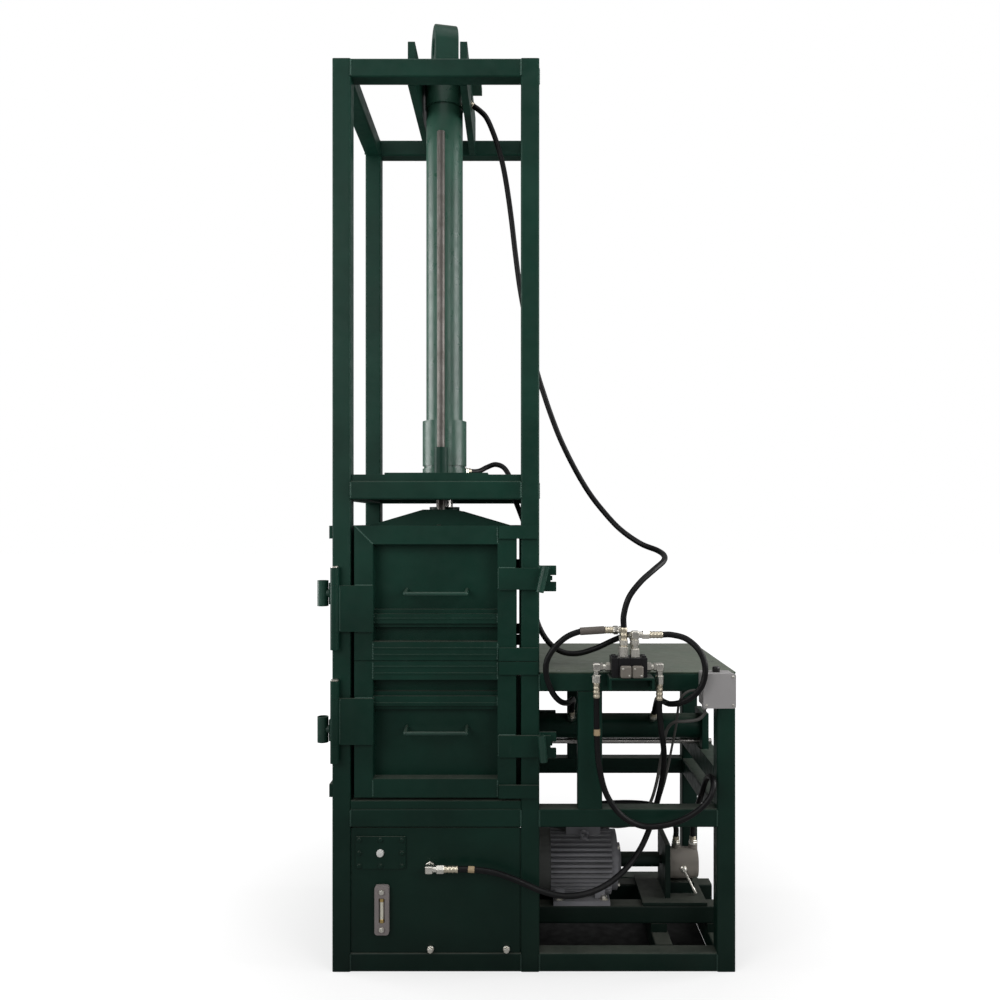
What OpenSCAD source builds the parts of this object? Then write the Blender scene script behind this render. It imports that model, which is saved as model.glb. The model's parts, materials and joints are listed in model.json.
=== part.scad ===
// Vertical recycling baler: a square-tube press frame with a bale chamber, a side frame
// with a table, a side ram, an oil tank and a motor-driven hydraulic power pack.
// Machine axes: X to the right from the press frame's left face, Y back from its front face,
// Z up from the floor. place() then centres the machine over the origin.

/* [Frame] */
// Side of the square tube
tube = 50; // [46:1:54]
// Wall of the square tube
tube_wall = 4; // [3:0.5:5]
// Corner radius of the square tube
tube_r = 5; // [2:0.5:7]
// Width of the press frame
press_w = 560; // [550:5:600]
// Depth of both frames
frame_d = 560; // [550:5:600]
// Height of the press frame
press_h = 2468; // [2440:2:2500]
// Width over the press frame and the side frame
total_w = 1090; // [1080:5:1140]
// Top of the table sheet above the floor
table_z = 810; // [800:5:820]
// Thickness of the table sheet
sheet_t = 3; // [2:0.5:5]
// Underside of the middle rails above the floor
mid_rail_z = 390; // [380:2:394]
// Underside of the crosshead rails above the floor
crosshead_z = 1276; // [1270:2:1290]
// Thickness of a column cap plate
cap_t = 4; // [3:0.5:6]
// Gap between the press frame and the middle posts
mid_post_gap = 104; // [90:2:110]
// Width of the middle posts of the side frame
mid_post_w = 66; // [60:1:70]

/* [Chamber] */
// Thickness of the chamber floor plate
floor_t = 22; // [16:1:26]
// Thickness of the right chamber wall
wall_t = 5; // [4:0.5:6]
// Lower edge of the lower door
door_bottom_z = 471; // [468:1:474]
// Joint line between the upper and the lower door
door_split_z = 840; // [835:1:845]
// Upper edge of the upper door
door_top_z = 1205; // [1200:1:1210]
// Gap between the upper and the lower door
door_split_gap = 2; // [1:0.5:4]
// Gap between a door and its hinge column
hinge_gap = 10; // [8:0.5:12]
// Gap between a door and its latch column
latch_gap = 13; // [11:0.5:15]
// Width and depth of the door frame members
door_member = 50; // [46:1:52]
// Depth of the door panel behind the frame's face
panel_recess = 40; // [34:1:42]
// Thickness of the door panel
panel_t = 6; // [4:0.5:7]
// Height of a stiffening rib on a door
rib_h = 48; // [40:1:56]
// Height of the rib's narrow front step
rib_step_h = 26; // [18:1:34]

/* [Hinges and latches] */
// Outer diameter of a hinge knuckle
knuckle_d = 24; // [22:0.5:26]
// Diameter of a hinge pin
hinge_pin_d = 14; // [12:0.5:15]
// Radial running clearance of pins, rods and spindles
running_clear = 0.05; // [0.03:0.01:0.08]
// Gap between faces that pass each other
pass_gap = 0.5; // [0.3:0.1:0.8]
// Height of a hinge leaf
leaf_h = 124; // [110:2:130]
// Width of a hinge leaf from the hinge axis
leaf_w = 103; // [95:1:110]
// Thickness of hinge leaves
leaf_t = 11.5; // [9:0.5:12]
// Height of a fixed knuckle
fixed_knuckle_h = 48; // [40:1:52]
// Height of a latch bar
bar_h = 58; // [50:1:62]
// Thickness of latch bars
bar_t = 10; // [8:0.5:12]
// Height of the stop tabs
tab_h = 35; // [28:1:40]
// Thickness of the stop tabs
tab_t = 8; // [6:0.5:10]
// Diameter of a latch spindle
spindle_d = 12; // [10:0.5:12]
// Outer diameter of a latch handle tube
grip_d = 21; // [18:0.5:24]
// Length of a latch handle tube
grip_l = 70; // [60:1:80]
// Outer diameter of a left latch handle tube
left_grip_d = 30; // [26:1:32]
// Length of the keeper lugs beside the column
keeper_l = 46; // [40:1:48]

/* [Press] */
// Bore of the press cylinder
press_bore = 90; // [80:1:92]
// Outer diameter of the press barrel
press_od = 110; // [104:1:112]
// Diameter of the press rod
press_rod_d = 50; // [45:1:55]
// Outer diameter of the press cylinder head
press_head_d = 132; // [124:1:138]
// Height of the press cylinder head
press_head_h = 168; // [150:2:176]
// Thickness of the crosshead plate
crosshead_t = 23; // [18:1:26]
// Height of the cylinder side plates
hanger_h = 122; // [114:2:130]
// Thickness of the cylinder side plates
hanger_t = 20; // [16:1:22]
// Gap between the cylinder side plates
hanger_gap = 124; // [120:1:128]
// Thickness of the mounting flange
flange_t = 20; // [16:1:24]
// Outer diameter of the lifting eye
eye_d = 134; // [126:1:140]
// Bore of the lifting eye
eye_bore = 60; // [50:1:62]
// Thickness of the lifting eye
eye_t = 68; // [58:1:72]
// Diameter of the press guide rod
guide_d = 23; // [20:0.5:26]
// Gap between the platen and the door frames
platen_gap = 15; // [13:0.5:20]
// Thickness of the platen
platen_t = 16; // [12:1:20]
// Underside of the raised platen above the floor
platen_z = 1180; // [1175:1:1185]
// Height of the platen ribs at the middle
platen_rib_h = 54; // [44:1:58]

/* [Side ram] */
// Height of the side ram's axis above the floor
ram_z = 601; // [599:1:604]
// Outer diameter of the side ram barrel
ram_od = 74; // [68:1:76]
// Bore of the side ram barrel
ram_bore = 56; // [50:1:58]
// Diameter of the side ram rod
ram_rod_d = 36; // [30:1:40]
// Diameter of the side ram's guide rod
ram_guide_d = 16; // [14:0.5:16]
// Thickness of the push plate
push_t = 12; // [10:0.5:12]
// Thickness of the ram wall between the right columns
ram_wall_t = 12; // [10:1:14]

/* [Oil tank] */
// Wall of the oil tank
tank_wall = 4; // [3:0.5:5]
// Width of the inspection cover
cover_w = 135; // [125:1:140]
// Height of the inspection cover
cover_h = 88; // [80:1:94]
// Thickness of the inspection cover
cover_t = 5; // [4:0.5:7]
// Width of the level gauge
gauge_w = 39; // [35:1:43]
// Height of the level gauge
gauge_h = 133; // [125:1:140]
// Thickness of the level gauge
gauge_t = 14; // [12:0.5:18]

/* [Power pack] */
// Height of the motor's shaft above its rails
motor_h = 96; // [94:1:100]
// Radius over the motor's fins
motor_r = 96; // [90:1:96]
// Depth of the motor's fins
fin_depth = 15; // [10:1:18]
// Number of fins around the motor
fin_count = 40; // [28:4:48]
// Length of the finned motor body
motor_l = 175; // [165:1:180]
// Diameter of the motor's shaft
shaft_d = 24; // [20:1:26]
// Diameter of the shaft coupling
coupling_d = 42; // [36:1:46]
// Thickness of the pump bracket plate
pump_plate_t = 15; // [12:1:18]
// Width of the valve block
valve_w = 94; // [88:1:100]
// Height of the valve block
valve_h = 52; // [46:1:58]
// Depth of the valve block
valve_d = 60; // [54:1:64]
// Width of the switch box
box_w = 82; // [76:1:86]
// Height of the switch box
box_h = 87; // [80:1:92]
// Depth of the switch box
box_d = 70; // [60:1:76]
// Outer diameter of the hydraulic hoses
hose_d = 18; // [16:0.5:20]
// Outer diameter of the motor cable
cable_d = 9; // [8:0.5:10]

/* [Hidden] */
$fn = 48;
eps = 0.01;

green = [0.06, 0.20, 0.14];
dark_green = [0.05, 0.15, 0.11];
chrome = [0.75, 0.76, 0.78];
zinc = [0.68, 0.69, 0.66];
motor_grey = [0.45, 0.48, 0.50];
cast_grey = [0.50, 0.49, 0.46];
box_grey = [0.62, 0.61, 0.63];
rubber = [0.06, 0.06, 0.06];

// Frame lines
press_x = press_w / 2;
press_y = frame_d / 2;
right_col_x = press_w - tube;
rear_col_y = frame_d - tube;
side_col_x = total_w - tube;
bay_x = press_w - 2 * tube;
bay_y = frame_d - 2 * tube;
side_bay_x = side_col_x - press_w;
mid_post_x = press_w + mid_post_gap;
top_rail_z = press_h - tube;
table_rail_z = table_z - sheet_t - tube;
mid_top_z = mid_rail_z + tube;
screw_d = 12;
screw_sink = 0.3;
screw_left = 53;
screw_mid = 46;
screw_right = 145;

// Doors
bar_lap = 47;
tab_margin = 4;
left_bar_margin = 8;
door_x0 = tube + hinge_gap;
// Ends of a door's members, on columns that are span wide over all
function door_end(span) = span - tube - latch_gap;
function bar_start(span) = door_end(span) - bar_lap;
function tab_end(span) = span - tab_margin;
hinge_x = 10;
hinge_y = -knuckle_d / 2 - pass_gap;
upper_hinge_z = 982;
lower_hinge_z = 678;
upper_bar_z = 1062;
lower_bar_z = 611;
left_bar_zs = [650, 1021];
latch_x = press_w + spindle_d / 2 + 2;
left_latch_x = frame_d - tube / 2;
grip_y = -34;
left_grip_y = -30;
upper_grip_tilt = 13;
lower_grip_tilt = -5;
wing_y = 24;
wing_t = 8;
wing_l = 28;
wing_h = 12;
lug_t = 8;
lug_w = 10;
lug_l = 26;
slot_clear = 2;
keeper_y = 6;
keeper_t = 12;
keeper_h = 26;
handle_bar_d = 11;
handle_l = 165;
handle_drop = 8;
upper_handle_z = 1021;
lower_handle_z = 645;

// Press stack
crosshead_top = crosshead_z + tube + crosshead_t;
crosshead_w = 280;
crosshead_inset = 10;
pad_t = 5;
rod_hole_play = 4;
hose_hole_dx = 202;
hose_hole_dy = 76;
hose_hole_d = 44;
barrel_z0 = crosshead_top + press_head_h;
hanger_z1 = top_rail_z + hanger_h;
collar_lap = 40;
barrel_z1 = top_rail_z + collar_lap;
cap_port_tilt = 35;
collar_play = 4;
collar_d = hanger_gap - 2 * collar_play;
flange_w = 220;
flange_d = 160;
eye_h = 79;
eye_yaw = 12;
platen_top = platen_z + platen_t;
hub_d = 90;
hub_h = 64;
platen_rib_margin = 4;
piston_h = 50;
barrel_cap_t = 20;
piston_gap = 10;
piston_z = barrel_z1 - barrel_cap_t - piston_gap - piston_h;
guide_offset = 120;
guide_y = press_y - guide_offset;
guide_drop = 128;
guide_top_z = press_h - guide_drop;
bush_d = 40;
bush_h = 81;
foot_d = 36;
foot_h = 30;
cap_port_z = hanger_z1 - 9;
port_d = 22;
boss_d = 28;
cap_boss_l = (hanger_gap / 2 + 2) / cos(cap_port_tilt);
cap_reach = 87;
cap_end_z = cap_port_z - cap_reach * tan(cap_port_tilt);
head_port_z = 1372;
head_port_turn = 45;
head_boss_l = press_head_d / 2 + 6;

// Side ram
ram_y = press_y;
ram_wall_x0 = press_w - ram_wall_t;
ram_wall_z0 = mid_top_z + floor_t;
ram_wall_z1 = table_z - sheet_t - 1;
ram_barrel_x0 = press_w + 55;
ram_barrel_x1 = side_col_x + 6;
ram_cap_l = 121;
ram_bore_x1 = ram_barrel_x1 - ram_cap_l;
ram_piston_l = 36;
push_x = door_end(press_w);
push_z0 = ram_wall_z0 + 3;
push_z1 = table_z - 20;
chamber_wall_z0 = push_z1 + 6;
push_margin = 8;
ram_beam_z0 = 487;
ram_beam_h = 56;
ram_guide_z = ram_z - ram_od / 2 - ram_guide_d / 2 - 1.5;
ram_guide_x1 = total_w - 5;
ram_mount_t = 20;
ram_cap_port_x = ram_bore_x1 - 20;
ram_rod_port_x = ram_barrel_x0 + 45;
ram_boss_reach = ram_od / 2 + 4;

// Oil tank
tank_gap = 2;
tank_x0 = tube + tank_gap;
tank_x1 = right_col_x - tank_gap;
tank_y0 = 4;
tank_y1 = rear_col_y - 4;
tank_z1 = mid_rail_z - 2;
cover_x = 64;
cover_z = 278;
gauge_x = 116;
gauge_z = 103;
drain_xs = [266, 471];
drain_z = 62;
return_x = 265;
return_z = 288;

// Power pack
rail_packer_h = 24;
motor_rail_z0 = tube + rail_packer_h;
motor_rail_z1 = motor_rail_z0 + tube;
motor_z = motor_rail_z1 + motor_h;
motor_y = 222;
motor_x0 = press_w + 36;
motor_x1 = motor_x0 + motor_l;
motor_rail_ys = [122, 272];
motor_rail_x0 = right_col_x + 5;
motor_rail_x1 = total_w - 5;
cross_tube_x = press_w + side_bay_x * 2 / 3;
fan_cover_l = 60;
shield_l = 30;
coupling_run = 154;
pump_plate_x = motor_x1 + coupling_run;
pump_plate_top = 288;
pump_base_back = 69;
pump_base_x0 = pump_plate_x - pump_base_back;
pump_base_front = 115;
pump_base_x1 = pump_plate_x + pump_base_front;
pump_base_t = 10;
pump_x0 = pump_plate_x + pump_plate_t;
pump_l = 75;
pump_cover_l = 14;
pump_r = 36;
pump_drop = 18;
pump_boss_h = 8;
suction_port = 28;
outlet_port = 78;
suction_x = pump_x0 + suction_port;
outlet_x = pump_x0 + outlet_port;

// Valve and switch box
valve_bracket_w = 118;
valve_shift = 24;
valve_bracket_x = (press_w + total_w - valve_bracket_w) / 2 - valve_shift;
valve_bracket_d = 72;
valve_bracket_t = 6;
valve_bracket_leg = 34;
valve_bracket_z = table_z - sheet_t - 1;
valve_x = valve_bracket_x + 6;
valve_y = -valve_bracket_d + 4;
valve_cap_l = 16;
box_inset = 100;
box_x = total_w - box_inset;
box_z = table_z + 5 - box_h;
button_d = 20;
button_h = 18;
button_seat = 3;
button_y = -26;
button_travel = 4;

// Reach of the rigid parts, for the origin
reach_left = left_grip_y - left_grip_d / 2;
reach_front = valve_y - valve_cap_l;
origin_x = (reach_left + total_w) / 2;
origin_y = (reach_front + frame_d + leaf_t) / 2;

// Hose routes, from the valve or pump to the far fitting
press_cap_route = [[782, -50, 936], [782, -50, 970], [796, -49, 1016], [828, -38, 1056], [868, -10, 1087],
    [900, 30, 1108], [908, 70, 1122], [895, 110, 1135], [852, 150, 1154], [796, 178, 1196],
    [745, 198, 1254], [706, 210, 1308], [667, 218, 1376], [629, 226, 1455], [603, 232, 1522],
    [580, 237, 1590], [556, 241, 1670], [530, 245, 1790], [508, 250, 1910], [494, 255, 2015],
    [482, 260, 2120], [469, 264, 2215], [456, 269, 2288], [441, 275, 2346], [424, 278, 2396],
    [405, 280, 2437], [383, 280, 2459.08], [press_x + cap_reach, 280, cap_end_z]];
press_rod_route = [[812, 24, 905], [812, 46, 905], [800, 80, 898], [768, 108, 880], [720, 125, 855],
    [670, 133, 840], [625, 140, 845], [588, 150, 872], [560, 165, 920], [545, 182, 985],
    [537, 200, 1060], [533, 222, 1130], [526, 255, 1190], [508, 295, 1243], [491, 330, 1288],
    [484, 352, 1325], [474, 368, 1358], [456, 384, 1386], [430, 394, 1396], [405, 395, 1388],
    [383, 382, 1376], [367, 367, 1372], [352, 352, 1372]];
ram_cap_route = [[884, -50, 917], [908, -50, 917], [944, -60, 908], [974, -76, 882], [988, -85, 848],
    [988, -88, 814], [977, -86, 782], [955, -74, 755], [930, -50, 737], [912, -16, 727],
    [ram_cap_port_x + 1, 25, 722], [ram_cap_port_x - 2, 75, 718], [ram_cap_port_x - 2, 125, 714],
    [ram_cap_port_x - 1, 165, 703], [ram_cap_port_x, 196, 684], [ram_cap_port_x, 216, 665],
    [ram_cap_port_x, 231, 650]];
ram_rod_route = [[734, -22, 926], [704, -22, 926], [668, -23, 922], [632, -26, 908], [600, -28, 880],
    [580, -28, 846], [577, -26, 812], [585, -22, 780], [598, -14, 752], [616, 6, 730],
    [634, 40, 718], [648, 85, 714], [657, 128, 710], [ram_rod_port_x + 1, 165, 701],
    [ram_rod_port_x + 1, 190, 687], [ram_rod_port_x, 208, 673], [ram_rod_port_x, 223, 658]];
pressure_route = [[711, -38, 748], [711, -38, 710], [712, -38, 640], [718, -38, 565], [738, -38, 490],
    [778, -38, 435], [830, -38, 408], [885, -38, 408], [940, -38, 424], [985, -38, 452],
    [1012, -37, 482], [1024, -26, 508], [1027, 0, 522], [1026, 35, 518], [1024, 72, 494],
    [1022, 110, 452], [1020, 150, 408], [outlet_x + 1, 188, 368], [outlet_x, 214, 335],
    [outlet_x, 222, 312], [outlet_x, 222, 288]];
return_route = [[878, -38, 742], [878, -38, 708], [886, -22, 655], [896, 8, 610], [903, 40, 565],
    [904, 66, 515], [898, 80, 465], [886, 84, 415], [868, 76, 360], [838, 56, 308],
    [795, 30, 265], [740, 4, 233], [680, -16, 217], [620, -25, 216], [560, -27, 232],
    [505, -27, 256], [450, -27, 276], [405, -27, 285], [370, -27, 288], [342, -27, 288]];
suction_route = [[suction_x, 222, 288], [suction_x, 222, 312], [958, 228, 342], [935, 239, 362],
    [898, 256, 370], [850, 278, 368], [790, 302, 360], [725, 325, 348], [665, 338, 335],
    [610, 344, 322], [tank_x1 + 48, 345, 315], [tank_x1 + 18, 345, 315]];
cable_route = [[box_x + 10, -28, 716], [box_x + 10, -28, 710], [box_x + 10, -28, 704], [984, -26, 688],
    [952, -14, 680], [926, 10, 672], [912, 42, 645], [908, 72, 600], [902, 96, 540], [892, 108, 475],
    [876, 118, 418], [850, 136, 375], [818, 165, 348], [790, 200, 336], [766, 222, 334], [744, 222, 334]];

// Last point of a route
function route_end(p) = p[len(p) - 1];

module place() translate([-origin_x, -origin_y, 0]) children();

// Square tubes and flat shapes

module rounded_rect(w, h, r) {
    translate([r, 0]) square([w - 2 * r, h]);
    translate([0, r]) square([w, h - 2 * r]);
    for (x = [r, w - r], y = [r, h - r]) translate([x, y]) circle(r);
}

module tube_profile(w = tube) {
    difference() {
        rounded_rect(w, tube, tube_r);
        translate([tube_wall, tube_wall]) square([w - 2 * tube_wall, tube - 2 * tube_wall]);
    }
}

module tube_x(l) rotate([90, 0, 90]) linear_extrude(l) tube_profile();
module tube_y(l) translate([0, l, 0]) rotate([90, 0, 0]) linear_extrude(l) tube_profile();
module tube_z(l, w = tube) linear_extrude(l) tube_profile(w);

// A column: a square tube with a closed top
module column(h) {
    difference() {
        linear_extrude(h) rounded_rect(tube, tube, tube_r);
        translate([tube_wall, tube_wall, -1])
            cube([tube - 2 * tube_wall, tube - 2 * tube_wall, h - cap_t + 1]);
    }
}

// A disc or bar along X or Y
module rod_x(d, l) rotate([0, 90, 0]) cylinder(d = d, h = l);
module rod_y(d, l) rotate([-90, 0, 0]) cylinder(d = d, h = l);
module hex_z(d, l) cylinder(d = d, h = l, $fn = 6);

// Four rails between the main columns
module press_ring(z) {
    for (y = [0, rear_col_y]) translate([tube, y, z]) tube_x(bay_x);
    for (x = [0, right_col_x]) translate([x, tube, z]) tube_y(bay_y);
}

// Three rails round the side frame
module side_ring(z) {
    for (y = [0, rear_col_y]) translate([press_w, y, z]) tube_x(side_bay_x);
    translate([side_col_x, tube, z]) tube_y(bay_y);
}

// Frame

module main_columns() {
    slot_w = lug_w + 2 * slot_clear;
    slot_h = lug_l + 2 * slot_clear;
    color(green) difference() {
        for (x = [0, right_col_x], y = [0, rear_col_y]) translate([x, y, 0]) column(press_h);
        for (z = left_bar_zs)
            translate([-1, tube / 2 - slot_w / 2, z - slot_h / 2]) cube([tube_wall + 2, slot_w, slot_h]);
    }
}

module side_posts() {
    color(green) {
        for (y = [0, rear_col_y]) {
            translate([side_col_x, y, 0]) tube_z(table_z - sheet_t);
            translate([mid_post_x, y, mid_top_z]) tube_z(table_rail_z - mid_top_z, mid_post_w);
        }
    }
}

module upper_rails() {
    color(green) {
        press_ring(top_rail_z);
        press_ring(crosshead_z);
    }
}

module lower_rails() {
    color(green) {
        for (z = [0, mid_rail_z]) press_ring(z);
        for (z = [0, mid_rail_z, table_rail_z]) side_ring(z);
    }
}

// Places of the countersunk screws that hold the table sheet
table_screws = concat(
    [for (x = [press_w + screw_left, (press_w + total_w) / 2 - screw_mid, total_w - screw_right],
          y = [tube / 2, frame_d - tube / 2]) [x, y]],
    [for (y = [frame_d / 3, frame_d * 2 / 3]) [total_w - tube / 2, y]]);

module at_table_screws() for (p = table_screws) translate([p[0], p[1], table_z - sheet_t]) children();

module table_sheet() {
    color(green) difference() {
        translate([press_w, 0, table_z - sheet_t]) cube([total_w - press_w, frame_d, sheet_t]);
        at_table_screws() translate([0, 0, -1]) cylinder(d = screw_d, h = sheet_t + 2);
    }
}

// Chamber

module chamber_floor() {
    color(green) translate([0, 0, mid_top_z]) difference() {
        cube([press_w, frame_d, floor_t]);
        for (x = [-1, right_col_x], y = [-1, rear_col_y])
            translate([x, y, -1]) cube([tube + 1, tube + 1, floor_t + 2]);
    }
}

module chamber_wall() {
    lap = 10;
    color(green) translate([right_col_x - wall_t, tube - lap, chamber_wall_z0])
        cube([wall_t, bay_y + 2 * lap, door_top_z - chamber_wall_z0]);
}

// One stepped rib across a door, standing forward from the panel
module door_rib(span, z) {
    rib_face = 8;
    rib_l = door_end(span) - door_x0 - 2 * door_member + 2;
    translate([door_x0 + door_member - 1, panel_recess / 2, z - rib_h / 2])
        cube([rib_l, panel_recess / 2 + 1, rib_h]);
    translate([door_x0 + door_member - 1, rib_face, z - rib_step_h / 2])
        cube([rib_l, panel_recess / 2, rib_step_h]);
}

// Framed door with a recessed panel and ribs
module door_frame(span, z0, z1, rib_zs) {
    door_w = door_end(span) - door_x0;
    panel_w = door_w - 2 * door_member;
    panel_h = z1 - z0 - 2 * door_member;
    difference() {
        translate([door_x0, 0, z0]) cube([door_w, door_member, z1 - z0]);
        translate([door_x0 + door_member, -1, z0 + door_member]) cube([panel_w, panel_recess + 1, panel_h]);
        translate([door_x0 + door_member, panel_recess + panel_t, z0 + door_member])
            cube([panel_w, door_member, panel_h]);
    }
    for (z = rib_zs) door_rib(span, z);
}

// A flat strap on the door's face that passes over a column with a gap
module face_strap(span, x0, x1, z, h, t) {
    packing_x0 = max(x0, door_x0);
    packing_x1 = min(x1, door_end(span));
    translate([x0, -t - pass_gap, z - h / 2]) cube([x1 - x0, t, h]);
    translate([packing_x0, -pass_gap - eps, z - h / 2])
        cube([packing_x1 - packing_x0, pass_gap + 2 * eps, h]);
}

module hinge_leaf(span, z) {
    face_strap(span, hinge_x, hinge_x + leaf_w, z, leaf_h, leaf_t);
    translate([hinge_x, hinge_y, z - leaf_h / 2]) cylinder(d = knuckle_d, h = leaf_h);
}

module hinge_bore(z0, z1) {
    translate([hinge_x, hinge_y, z0]) cylinder(r = hinge_pin_d / 2 + running_clear, h = z1 - z0);
}

// Door with its hinge leaves, latch bars and stop tabs
module door(span, z0, z1, rib_zs, hinge_zs, bar_zs, bar_x1, spindle_x) {
    color(green) difference() {
        union() {
            door_frame(span, z0, z1, rib_zs);
            for (z = hinge_zs) hinge_leaf(span, z);
            for (z = bar_zs) face_strap(span, bar_start(span), bar_x1, z, bar_h, bar_t);
            for (z = [z0 + tab_h / 2, z1 - tab_h / 2])
                face_strap(span, bar_start(span), tab_end(span), z, tab_h, tab_t);
        }
        hinge_bore(z0, z1);
        for (z = bar_zs)
            translate([spindle_x, -bar_t - 1, z]) rod_y(spindle_d + 2 * running_clear, bar_t + 1);
    }
}

upper_door_z0 = door_split_z + door_split_gap / 2;
lower_door_z1 = door_split_z - door_split_gap / 2;
upper_rib_zs = [953];
lower_rib_zs = [730];
left_rib_zs = [653, 835, 1018];
bar_x1 = latch_x + 22;
left_bar_x1 = frame_d - left_bar_margin;

module front_upper_door()
    door(press_w, upper_door_z0, door_top_z, upper_rib_zs, [upper_hinge_z], [upper_bar_z],
        bar_x1, latch_x);

module front_lower_door()
    door(press_w, door_bottom_z, lower_door_z1, lower_rib_zs, [lower_hinge_z], [lower_bar_z],
        bar_x1, latch_x);

// Turns a front door's place to the left side of the chamber
module on_left_side() translate([0, frame_d, 0]) rotate([0, 0, -90]) children();

left_hinge_zs = [lower_hinge_z, upper_hinge_z];

module left_door() on_left_side()
    door(frame_d, door_bottom_z, door_top_z, left_rib_zs, left_hinge_zs, left_bar_zs,
        left_bar_x1, left_latch_x);

// Fixed rear wall of the chamber: the same framed panels, strapped to both rear columns
module rear_panels() {
    color(green) translate([0, frame_d, 0]) mirror([0, 1, 0]) {
        door_frame(press_w, upper_door_z0, door_top_z, upper_rib_zs);
        door_frame(press_w, door_bottom_z, lower_door_z1, lower_rib_zs);
        for (z = [upper_hinge_z, lower_hinge_z]) rear_strap(hinge_x, hinge_x + leaf_w, z, leaf_h, leaf_t);
        for (z = [upper_bar_z, lower_bar_z])
            rear_strap(bar_start(press_w), tab_end(press_w), z, bar_h, bar_t);
        for (z = [upper_door_z0 + tab_h / 2, door_top_z - tab_h / 2, door_bottom_z + tab_h / 2,
                  lower_door_z1 - tab_h / 2])
            rear_strap(bar_start(press_w), tab_end(press_w), z, tab_h, tab_t);
    }
}

module rear_strap(x0, x1, z, h, t) translate([x0, -t, z - h / 2]) cube([x1 - x0, t, h]);

// Bent round bar handle on a door's panel
module bar_handle(z) {
    bar_y = -5;
    x0 = press_x - handle_l / 2;
    x1 = press_x + handle_l / 2;
    leg_run = panel_recess - bar_y;
    leg_l = sqrt(leg_run * leg_run + handle_drop * handle_drop);
    leg_tilt = atan2(handle_drop, leg_run);
    corner_d = handle_bar_d + 0.6;
    color(dark_green) intersection() {
        union() {
            translate([x0, bar_y, z]) rod_x(handle_bar_d, handle_l);
            for (x = [x0, x1]) translate([x, bar_y, z]) {
                sphere(d = corner_d);
                rotate([leg_tilt, 0, 0]) rod_y(handle_bar_d, leg_l + handle_bar_d);
            }
        }
        translate([0, bar_y - handle_bar_d, z - handle_l])
            cube([press_w, leg_run + handle_bar_d, 2 * handle_l]);
    }
}

module front_upper_handle() bar_handle(upper_handle_z);
module front_lower_handle() bar_handle(lower_handle_z);

// Hinge knuckles welded to a column, above and below a leaf
module knuckle_pair(z) {
    weld_w = 12;
    for (z0 = [z + leaf_h / 2 + pass_gap, z - leaf_h / 2 - pass_gap - fixed_knuckle_h]) difference() {
        union() {
            translate([hinge_x, hinge_y, z0]) cylinder(d = knuckle_d, h = fixed_knuckle_h);
            translate([hinge_x - weld_w / 2, hinge_y, z0]) cube([weld_w, -hinge_y, fixed_knuckle_h]);
        }
        hinge_bore(z0 - 1, z0 + fixed_knuckle_h + 1);
    }
}

module hinge_pin(z) {
    reach = leaf_h / 2 + pass_gap + fixed_knuckle_h;
    head_h = 4;
    translate([hinge_x, hinge_y, z - reach]) cylinder(d = hinge_pin_d, h = 2 * reach + eps);
    translate([hinge_x, hinge_y, z + reach]) cylinder(d = hinge_pin_d + 6, h = head_h);
}

module hinge_knuckles() {
    color(green) {
        for (z = [upper_hinge_z, lower_hinge_z]) knuckle_pair(z);
        on_left_side() for (z = left_hinge_zs) knuckle_pair(z);
    }
}

module hinge_pins() {
    color(zinc) {
        for (z = [upper_hinge_z, lower_hinge_z]) hinge_pin(z);
        on_left_side() for (z = left_hinge_zs) hinge_pin(z);
    }
}

// Latch handle: a tube grip across a spindle that turns in the latch bar
module latch_grip(x, y, z, d, tilt, tail_y) {
    neck_d = spindle_d + 10;
    bar_face = -bar_t - pass_gap;
    grip_wall = 3.5;
    translate([x, 0, z]) difference() {
        union() {
            translate([0, y, 0]) rod_y(spindle_d, tail_y - y);
            translate([0, y, 0]) rod_y(neck_d, bar_face - y - pass_gap);
            translate([0, y, 0]) rotate([0, tilt, 0]) cylinder(d = d, h = grip_l, center = true);
        }
        translate([0, y, 0]) rotate([0, tilt, 0])
            cylinder(d = d - 2 * grip_wall, h = grip_l + 2, center = true);
    }
}

// Front latch: a wing on the spindle turns behind the keeper lugs
module front_latch(z, tilt) {
    color(dark_green) {
        latch_grip(latch_x, grip_y, z, grip_d, tilt, wing_y + wing_t);
        translate([latch_x, wing_y, z - wing_h / 2]) cube([wing_l, wing_t, wing_h]);
    }
}

// Left latch: a lug on the spindle turns behind the wall of the slotted column
module left_latch(z) {
    lug_y = tube_wall + slot_clear;
    color(dark_green) on_left_side() {
        latch_grip(left_latch_x, left_grip_y, z, left_grip_d, 0, lug_y + lug_t);
        translate([left_latch_x - lug_w / 2, lug_y, z - lug_l / 2]) cube([lug_w, lug_t, lug_l]);
    }
}

module front_upper_latch() front_latch(upper_bar_z, upper_grip_tilt);
module front_lower_latch() front_latch(lower_bar_z, lower_grip_tilt);
module left_lower_latch() left_latch(left_bar_zs[0]);
module left_upper_latch() left_latch(left_bar_zs[1]);

// Two lugs on the column's side that leave a gap for the open wing
module latch_keepers() {
    gap = wing_h / 2 + 3;
    color(green) for (z = [upper_bar_z, lower_bar_z], z0 = [z + gap, z - gap - keeper_h])
        translate([press_w, keeper_y, z0]) cube([keeper_l, keeper_t, keeper_h]);
}

// Press

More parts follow.
